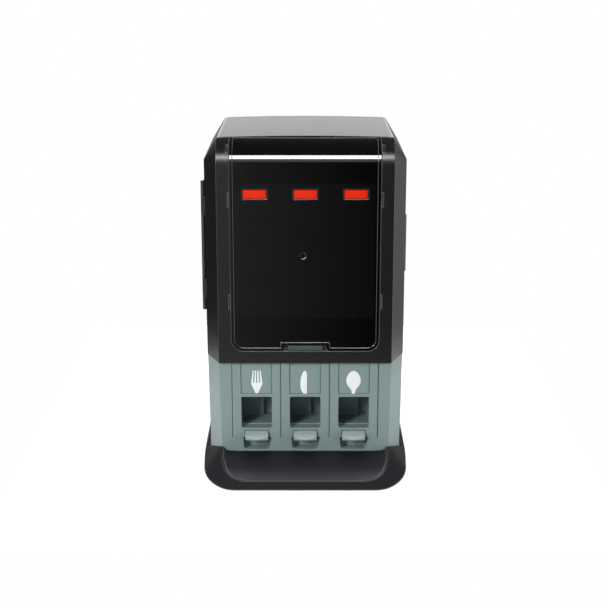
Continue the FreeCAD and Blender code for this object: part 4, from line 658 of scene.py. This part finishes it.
def coil_skin(centre, low, high, radius, wire, turns):
    """Round wire on a helix whose end turns close up: height eases in and out at both ends."""
    steps, around, closing = int(turns * 36) + 1, 10, 0.55
    share = np.linspace(0, 1, steps)
    eased = share - np.sin(2 * math.pi * share) / (2 * math.pi) * closing
    turn = 2 * math.pi * turns * share
    height = low + wire + (high - low - 2 * wire) * eased
    outward = np.stack([np.cos(turn), np.sin(turn), np.zeros(steps)], axis=-1)
    axis = np.stack([np.full(steps, centre[0]), np.full(steps, centre[1]), height], axis=-1)
    line = axis + outward * radius
    angle = np.linspace(0, 2 * math.pi, around, endpoint=False)
    up = np.array([0.0, 0.0, 1.0])
    rings = (line[:, None] + wire * (np.cos(angle)[None, :, None] * outward[:, None]
                                     + np.sin(angle)[None, :, None] * up))
    return tube_mesh(rings)


def leaf_skin(low, high, thick):
    """Strip bent to an arch of even thickness that rises as a cosine of the place along it."""
    place = np.linspace(-1, 1, 33)
    rise = 0.5 + 0.5 * np.cos(math.pi * place)
    heights = (low.z + high.z) / 2 + (high.z - low.z) / 2 * place
    front = high.y - thick - (high.y - thick - low.y) * rise
    left, right = np.full_like(place, low.x), np.full_like(place, high.x)
    return flat_print(left, right, heights, front, thick)


class DISPENSER_OT_springs(bpy.types.Operator):
    """Wind the return springs below the levers and bend the leaf behind the release bar"""

    bl_idname = "dispenser.springs"
    bl_label = "Springs"

    # lengths in millimetres; each keep is the share of a spring's height left when it is pressed
    radius = 4.6
    wire = 0.35
    turns = 7.5
    lever_keep = 0.62
    leaf_thick = 0.4
    leaf_keep = 0.355

    def execute(self, context):
        # drawn spring steel: greyer than the plating, with sharper lights along the wire
        steel = plated("steel_spring_drawn", context.scene.dispenser.finish.wire, 0.25)
        for side in SIDES:
            name = "lever_spring_" + side
            low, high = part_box(name)
            middle = (low + high) / 2
            radius = self.radius * MM
            skin = coil_skin(middle, low.z, high.z, radius, self.wire * MM, self.turns)
            spring = new_piece("spring_" + side, [skin], "dispenser", steel)
            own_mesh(spring)
            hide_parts(name)
        low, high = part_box("latch_spring")
        leaf = new_piece("leaf_spring", [leaf_skin(low, high, self.leaf_thick * MM)], "door", steel)
        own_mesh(leaf)
        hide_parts("latch_spring")
        return {"FINISHED"}


def screw_skin(head_face, along, across, head_radius, head_height, radius, length, pitch):
    """Pan head with a cross recess above a threaded shank.

    A profile is turned about the axis. On the head, the recess takes a cross out of the dome; on
    the shank, the radius falls and rises as a saw tooth of the turn plus the length over the pitch.
    """
    pole, dome_drop, thread_depth, tip = 0.02, 0.35, 0.28, 0.35
    arm, arm_slope, cross, cross_slope, recess = 1.4, 0.13, 0.62, 0.1, 0.5
    turns = np.linspace(0, 2 * math.pi, 40, endpoint=False)
    dome = np.linspace(pole, 1, 16)
    shank = np.linspace(0, 1, max(int((length - head_height) / pitch * 8), 24))
    radii = np.concatenate([dome * head_radius, [head_radius, radius],
                            np.full(len(shank), radius)])
    depths = np.concatenate([dome_drop * head_height * dome ** 3, [head_height, head_height],
                             head_height + shank * (length - head_height)])
    radii, turn = np.meshgrid(radii, turns, indexing="ij")
    depths = np.repeat(depths[:, None], len(turns), axis=1)
    tooth = np.abs(((depths / pitch - turn / (2 * math.pi)) % 1) * 2 - 1)
    on_shank = np.arange(len(radii))[:, None] >= len(dome) + 2
    fade = np.clip((length - depths) / (2 * pitch), tip, 1)
    radii = np.where(on_shank, (radii - thread_depth * pitch * tooth) * fade, radii)
    off_arms = np.minimum(np.abs(radii * np.cos(turn)), np.abs(radii * np.sin(turn)))
    slot = np.clip(arm - off_arms / (arm_slope * head_radius), 0, 1)
    reach = np.clip((cross * head_radius - radii) / (cross_slope * head_radius), 0, 1)
    depths = depths + np.where(on_shank, 0, slot * reach * recess * head_height)
    other = np.cross(along, across)
    aside = np.cos(turn)[..., None] * across + np.sin(turn)[..., None] * other
    return tube_mesh(np.asarray(head_face) + depths[..., None] * along + radii[..., None] * aside)


class DISPENSER_OT_screws(bpy.types.Operator):
    """Cut the threads and cross recesses of the screws"""

    bl_idname = "dispenser.screws"
    bl_label = "Screws"

    # millimetres; corners and flats are the widths of the plain heads that set the boxes
    head_radius = 3.4
    head_corners = 7.2
    head_flats = 6.235
    head_height = 2.2
    shank_radius = 1.8
    pitch = 1.1

    def corners(self, low, high, insets):
        """Places of four screws: an axis with an inset has one screw near either end of the box."""
        ends = [(low[number] + inset * MM, high[number] - inset * MM) if inset else (0.0,)
                for number, inset in enumerate(insets)]
        return [np.array(where) for where in itertools.product(*ends)]

    def place(self, name, axis, sign, places, plated_steel):
        """One piece for all screws of a node; sign tells which way their shanks point."""
        low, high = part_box(name)
        along, across = np.zeros(3), np.zeros(3)
        along[axis] = sign
        across[(axis + 1) % 3] = 1.0
        head = low[axis] if sign > 0 else high[axis]
        skins = []
        for where in places:
            where[axis] = head
            skins.append(screw_skin(where, along, across, self.head_radius * MM,
                                    self.head_height * MM, self.shank_radius * MM,
                                    high[axis] - low[axis], self.pitch * MM))
        piece = new_piece(name + "_threaded", skins, "dispenser", plated_steel)
        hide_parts(name)

    def execute(self, context):
        colours = context.scene.dispenser.finish
        # new zinc inside: the brightest metal here
        zinc = plated("steel_screws_zinc_plated", colours.screw, 0.28)
        # black oxide outside: dark steel with a dull shine
        black = plated("steel_screws_black_oxide", colours.oxide, 0.35)
        across, corner = self.head_flats / 2, self.head_corners / 2
        for name, axis, sign, insets, finish in (
                ("base_screws", 2, 1, (across, corner, 0), zinc),
                ("deck_screws", 2, -1, (across, corner, 0), zinc),
                ("rear_screws", 1, -1, (corner, 0, across), black)):
            self.place(name, axis, sign, self.corners(*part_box(name), insets), finish)
        low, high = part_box("hinge_screws")
        heights = np.linspace(low.z + corner * MM, high.z - corner * MM, 3)
        places = [np.array([0.0, (low.y + high.y) / 2, height]) for height in heights]
        self.place("hinge_screws", 0, 1, places, black)
        return {"FINISHED"}


# ---------------------------------------------------------------- stage


def seen_directly(tree):
    """1 for rays that show the background: straight, by gloss or through glass."""
    ray = node(tree, "ShaderNodeLightPath")
    seen = node(tree, "ShaderNodeMath", {0: ray.outputs["Is Camera Ray"],
                                         1: ray.outputs["Is Glossy Ray"]}, operation="MAXIMUM")
    return node(tree, "ShaderNodeMath", {0: seen, 1: ray.outputs["Is Transmission Ray"]},
                operation="MAXIMUM")


def soft_box(name, place, width, height, power, target=(0.0, 0.0, 0.25)):
    """Rectangular lamp that faces the target."""
    data = bpy.data.lights.new(name, "AREA")
    data.shape = "RECTANGLE"
    data.size, data.size_y = width, height
    data.energy = power
    lamp = bpy.data.objects.new(name, data)
    bpy.context.scene.collection.objects.link(lamp)
    lamp.location = place
    toward = lamp.location.copy()
    toward.x, toward.y, toward.z = (place[number] - target[number] for number in range(3))
    lamp.rotation_mode = "QUATERNION"
    lamp.rotation_quaternion = toward.to_track_quat("Z", "Y")
    return lamp


class DISPENSER_OT_stage(bpy.types.Operator):
    """Set up the floor, the lamps and the camera"""

    bl_idname = "dispenser.stage"
    bl_label = "Stage"

    def execute(self, context):
        scene = context.scene
        stage = scene.dispenser.stage
        self.counter(scene)
        self.room(scene, stage)
        self.lamps(stage)
        self.camera(scene, stage)
        scene.view_settings.view_transform = "Standard"
        return {"FINISHED"}

    def counter(self, scene):
        """White counter that shows the object's shadow, with white added where it is seen.

        The added white is dimmer near the object, where its shadow falls.
        """
        paint, near_glow, near, far = 0.35, 0.72, 0.2, 0.4
        material, tree = new_material("laminate_white_matt")
        surface = node(tree, "ShaderNodeBsdfDiffuse", {"Color": (paint, paint, paint, 1.0)})
        place = node(tree, "ShaderNodeTexCoord").outputs["Object"]
        away = node(tree, "ShaderNodeVectorMath", {0: place}, operation="LENGTH")
        strength = field(tree, [(seen_directly(tree), 0.0, 1.0, 0.0, 1.0),
                                (away, near, far, near_glow, 1.0)])
        glow = node(tree, "ShaderNodeEmission", {"Color": WHITE, "Strength": strength})
        total = node(tree, "ShaderNodeAddShader", {0: surface, 1: glow})
        node(tree, "ShaderNodeOutputMaterial", {"Surface": total})
        across, along = np.meshgrid([-0.4, 0.4], [-0.36, 0.6])
        points = np.stack([across, along, np.zeros_like(across)], axis=-1).reshape(-1, 3)
        mesh = bpy.data.meshes.new("floor")
        mesh.from_pydata(points.tolist(), [], grid_faces(2, 2, wrap=False))
        mesh.materials.append(material)
        floor = bpy.data.objects.new("floor", mesh)
        scene.collection.objects.link(floor)

    def room(self, scene, stage):
        """White room where it is seen, and the grey room with lit boxes that gloss mirrors.

        Each ramp runs between two sines of a direction, across, back or up, and gives a strength.
        """
        world = scene.world or bpy.data.worlds.new("room")
        scene.world = world
        world.use_nodes = True
        tree = world.node_tree
        tree.nodes.clear()
        direction = node(tree, "ShaderNodeTexCoord").outputs["Generated"]
        axes = node(tree, "ShaderNodeSeparateXYZ", {"Vector": direction})
        across, back, up = (axes.outputs[name] for name in ("X", "Y", "Z"))
        # wall behind: bright just above the counter, dim towards both sides and the ceiling
        behind = field(tree, [(across, -0.34, -0.14, 0.1, 1.0), (across, 0.14, 0.34, 1.0, 0.22),
                              (up, 0.0, 0.06, 0.4, 3.6), (up, 0.05, 0.2, 1.0, 0.015)])
        below = (up, -0.05, 0.1, 1.0, 0.0)
        side_height = within(up, 0.0, 0.5, 0.1)
        # in front: grey low on the left, a pale wall above it, and a lit box on either side
        ahead = field(tree, [(across, -0.08, 0.08, 0.2, 0.0), below],
                      [(across, -0.09, -0.05, 0.5, 0.0), below],
                      [(up, 0.0, 0.15, 0.0, 1.1), (up, 0.34, 0.5, 1.0, 0.04),
                       (across, 0.04, 0.09, 1.0, 0.2)],
                      [(across, -0.71, -0.66, 0.0, 2.5), (across, -0.54, -0.49, 1.0, 0.0),
                       *side_height],
                      [(across, 0.49, 0.54, 0.0, 0.5), (across, 0.66, 0.71, 1.0, 0.0),
                       *side_height])
        # white card low on the right, that lights the right-hand facets
        card = field(tree, [(across, 0.66, 0.8, 0.0, 2.2), *within(up, -0.3, 0.32, 0.12)])
        turned = field(tree, [(back, 0.05, 0.5, 0.0, 1.0)])
        gloss = node(tree, "ShaderNodeMix", {"Factor": turned, "A": ahead, "B": behind})
        gloss = node(tree, "ShaderNodeMath", {0: gloss, 1: card}, operation="ADD")
        ray = node(tree, "ShaderNodeLightPath")
        seen = node(tree, "ShaderNodeMath", {0: ray.outputs["Is Camera Ray"], 1: gloss},
                    operation="MAXIMUM")
        shown = node(tree, "ShaderNodeBackground", {"Color": WHITE, "Strength": seen})
        lit = node(tree, "ShaderNodeBackground", {"Color": WHITE, "Strength": stage.ambient})
        mixed = node(tree, "ShaderNodeMixShader", {0: seen_directly(tree), 1: lit, 2: shown})
        node(tree, "ShaderNodeOutputWorld", {"Surface": mixed})

    def lamps(self, stage):
        """Key from the upper left, fill from the right, and a strip above the front for the gloss.

        The fill and the lamp overhead don't mirror, and the strip only mirrors. Places and sizes
        are in metres.
        """
        soft_box("key_lamp", (-0.9, -1.4, 0.8), 0.4, 0.4, stage.key)
        fill = soft_box("fill_lamp", (1.6, -0.7, 0.55), 1.0, 1.0, stage.fill)
        fill.visible_glossy = False
        top = soft_box("top_lamp", (0.0, 0.0, 1.6), 0.9, 0.25, stage.top, (0.0, 0.0, 0.0))
        top.visible_glossy = False
        strip = soft_box("strip_lamp", (0.0, -2.03, 1.44), 0.6, 0.68, stage.strip,
                         (0.0, 0.0, 0.43))
        strip.visible_diffuse = False

    def camera(self, scene, stage):
        """Level with the upper half of the dispenser, looking down a little."""
        data = bpy.data.cameras.new("camera")
        data.lens = stage.lens
        data.sensor_width = 36.0
        camera = bpy.data.objects.new("camera", data)
        scene.collection.objects.link(camera)
        camera.location = (-stage.camera_left, -stage.camera_back, stage.camera_height)
        camera.rotation_euler = (math.pi / 2 - stage.pitch, 0.0, 0.0)
        scene.camera = camera


# ---------------------------------------------------------------- panel and registration

OPERATORS = (DISPENSER_OT_mouldings, DISPENSER_OT_window, DISPENSER_OT_metalwork,
             DISPENSER_OT_symbols, DISPENSER_OT_springs, DISPENSER_OT_screws, DISPENSER_OT_stage)


class DISPENSER_PT_panel(bpy.types.Panel):
    """Pieces of the dispenser"""

    bl_label = "Cutlery dispenser"
    bl_idname = "DISPENSER_PT_panel"
    bl_space_type = "VIEW_3D"
    bl_region_type = "UI"
    bl_category = "Dispenser"

    def draw(self, context):
        """Settings in a box for each group, then a button for each operator."""
        settings = context.scene.dispenser
        for group in (settings.finish, settings.symbols, settings.stage):
            box = self.layout.box()
            for name in group.__annotations__:
                box.prop(group, name)
        for operator in OPERATORS:
            self.layout.operator(operator.bl_idname)


CLASSES = (DispenserFinish, DispenserSymbols, DispenserStage, DispenserSettings, *OPERATORS,
           DISPENSER_PT_panel)


def register():
    """Registers the classes and hangs the settings on the scene."""
    for item in CLASSES:
        bpy.utils.register_class(item)
    bpy.types.Scene.dispenser = bpy.props.PointerProperty(type=DispenserSettings)


def unregister():
    """Takes the settings and the classes away again."""
    del bpy.types.Scene.dispenser
    for item in reversed(CLASSES):
        bpy.utils.unregister_class(item)


def main():
    """Registers the add-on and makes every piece."""
    register()
    for operator in OPERATORS:
        group, name = operator.bl_idname.split(".")
        getattr(getattr(bpy.ops, group), name)()


if __name__ == "__main__":
    main()
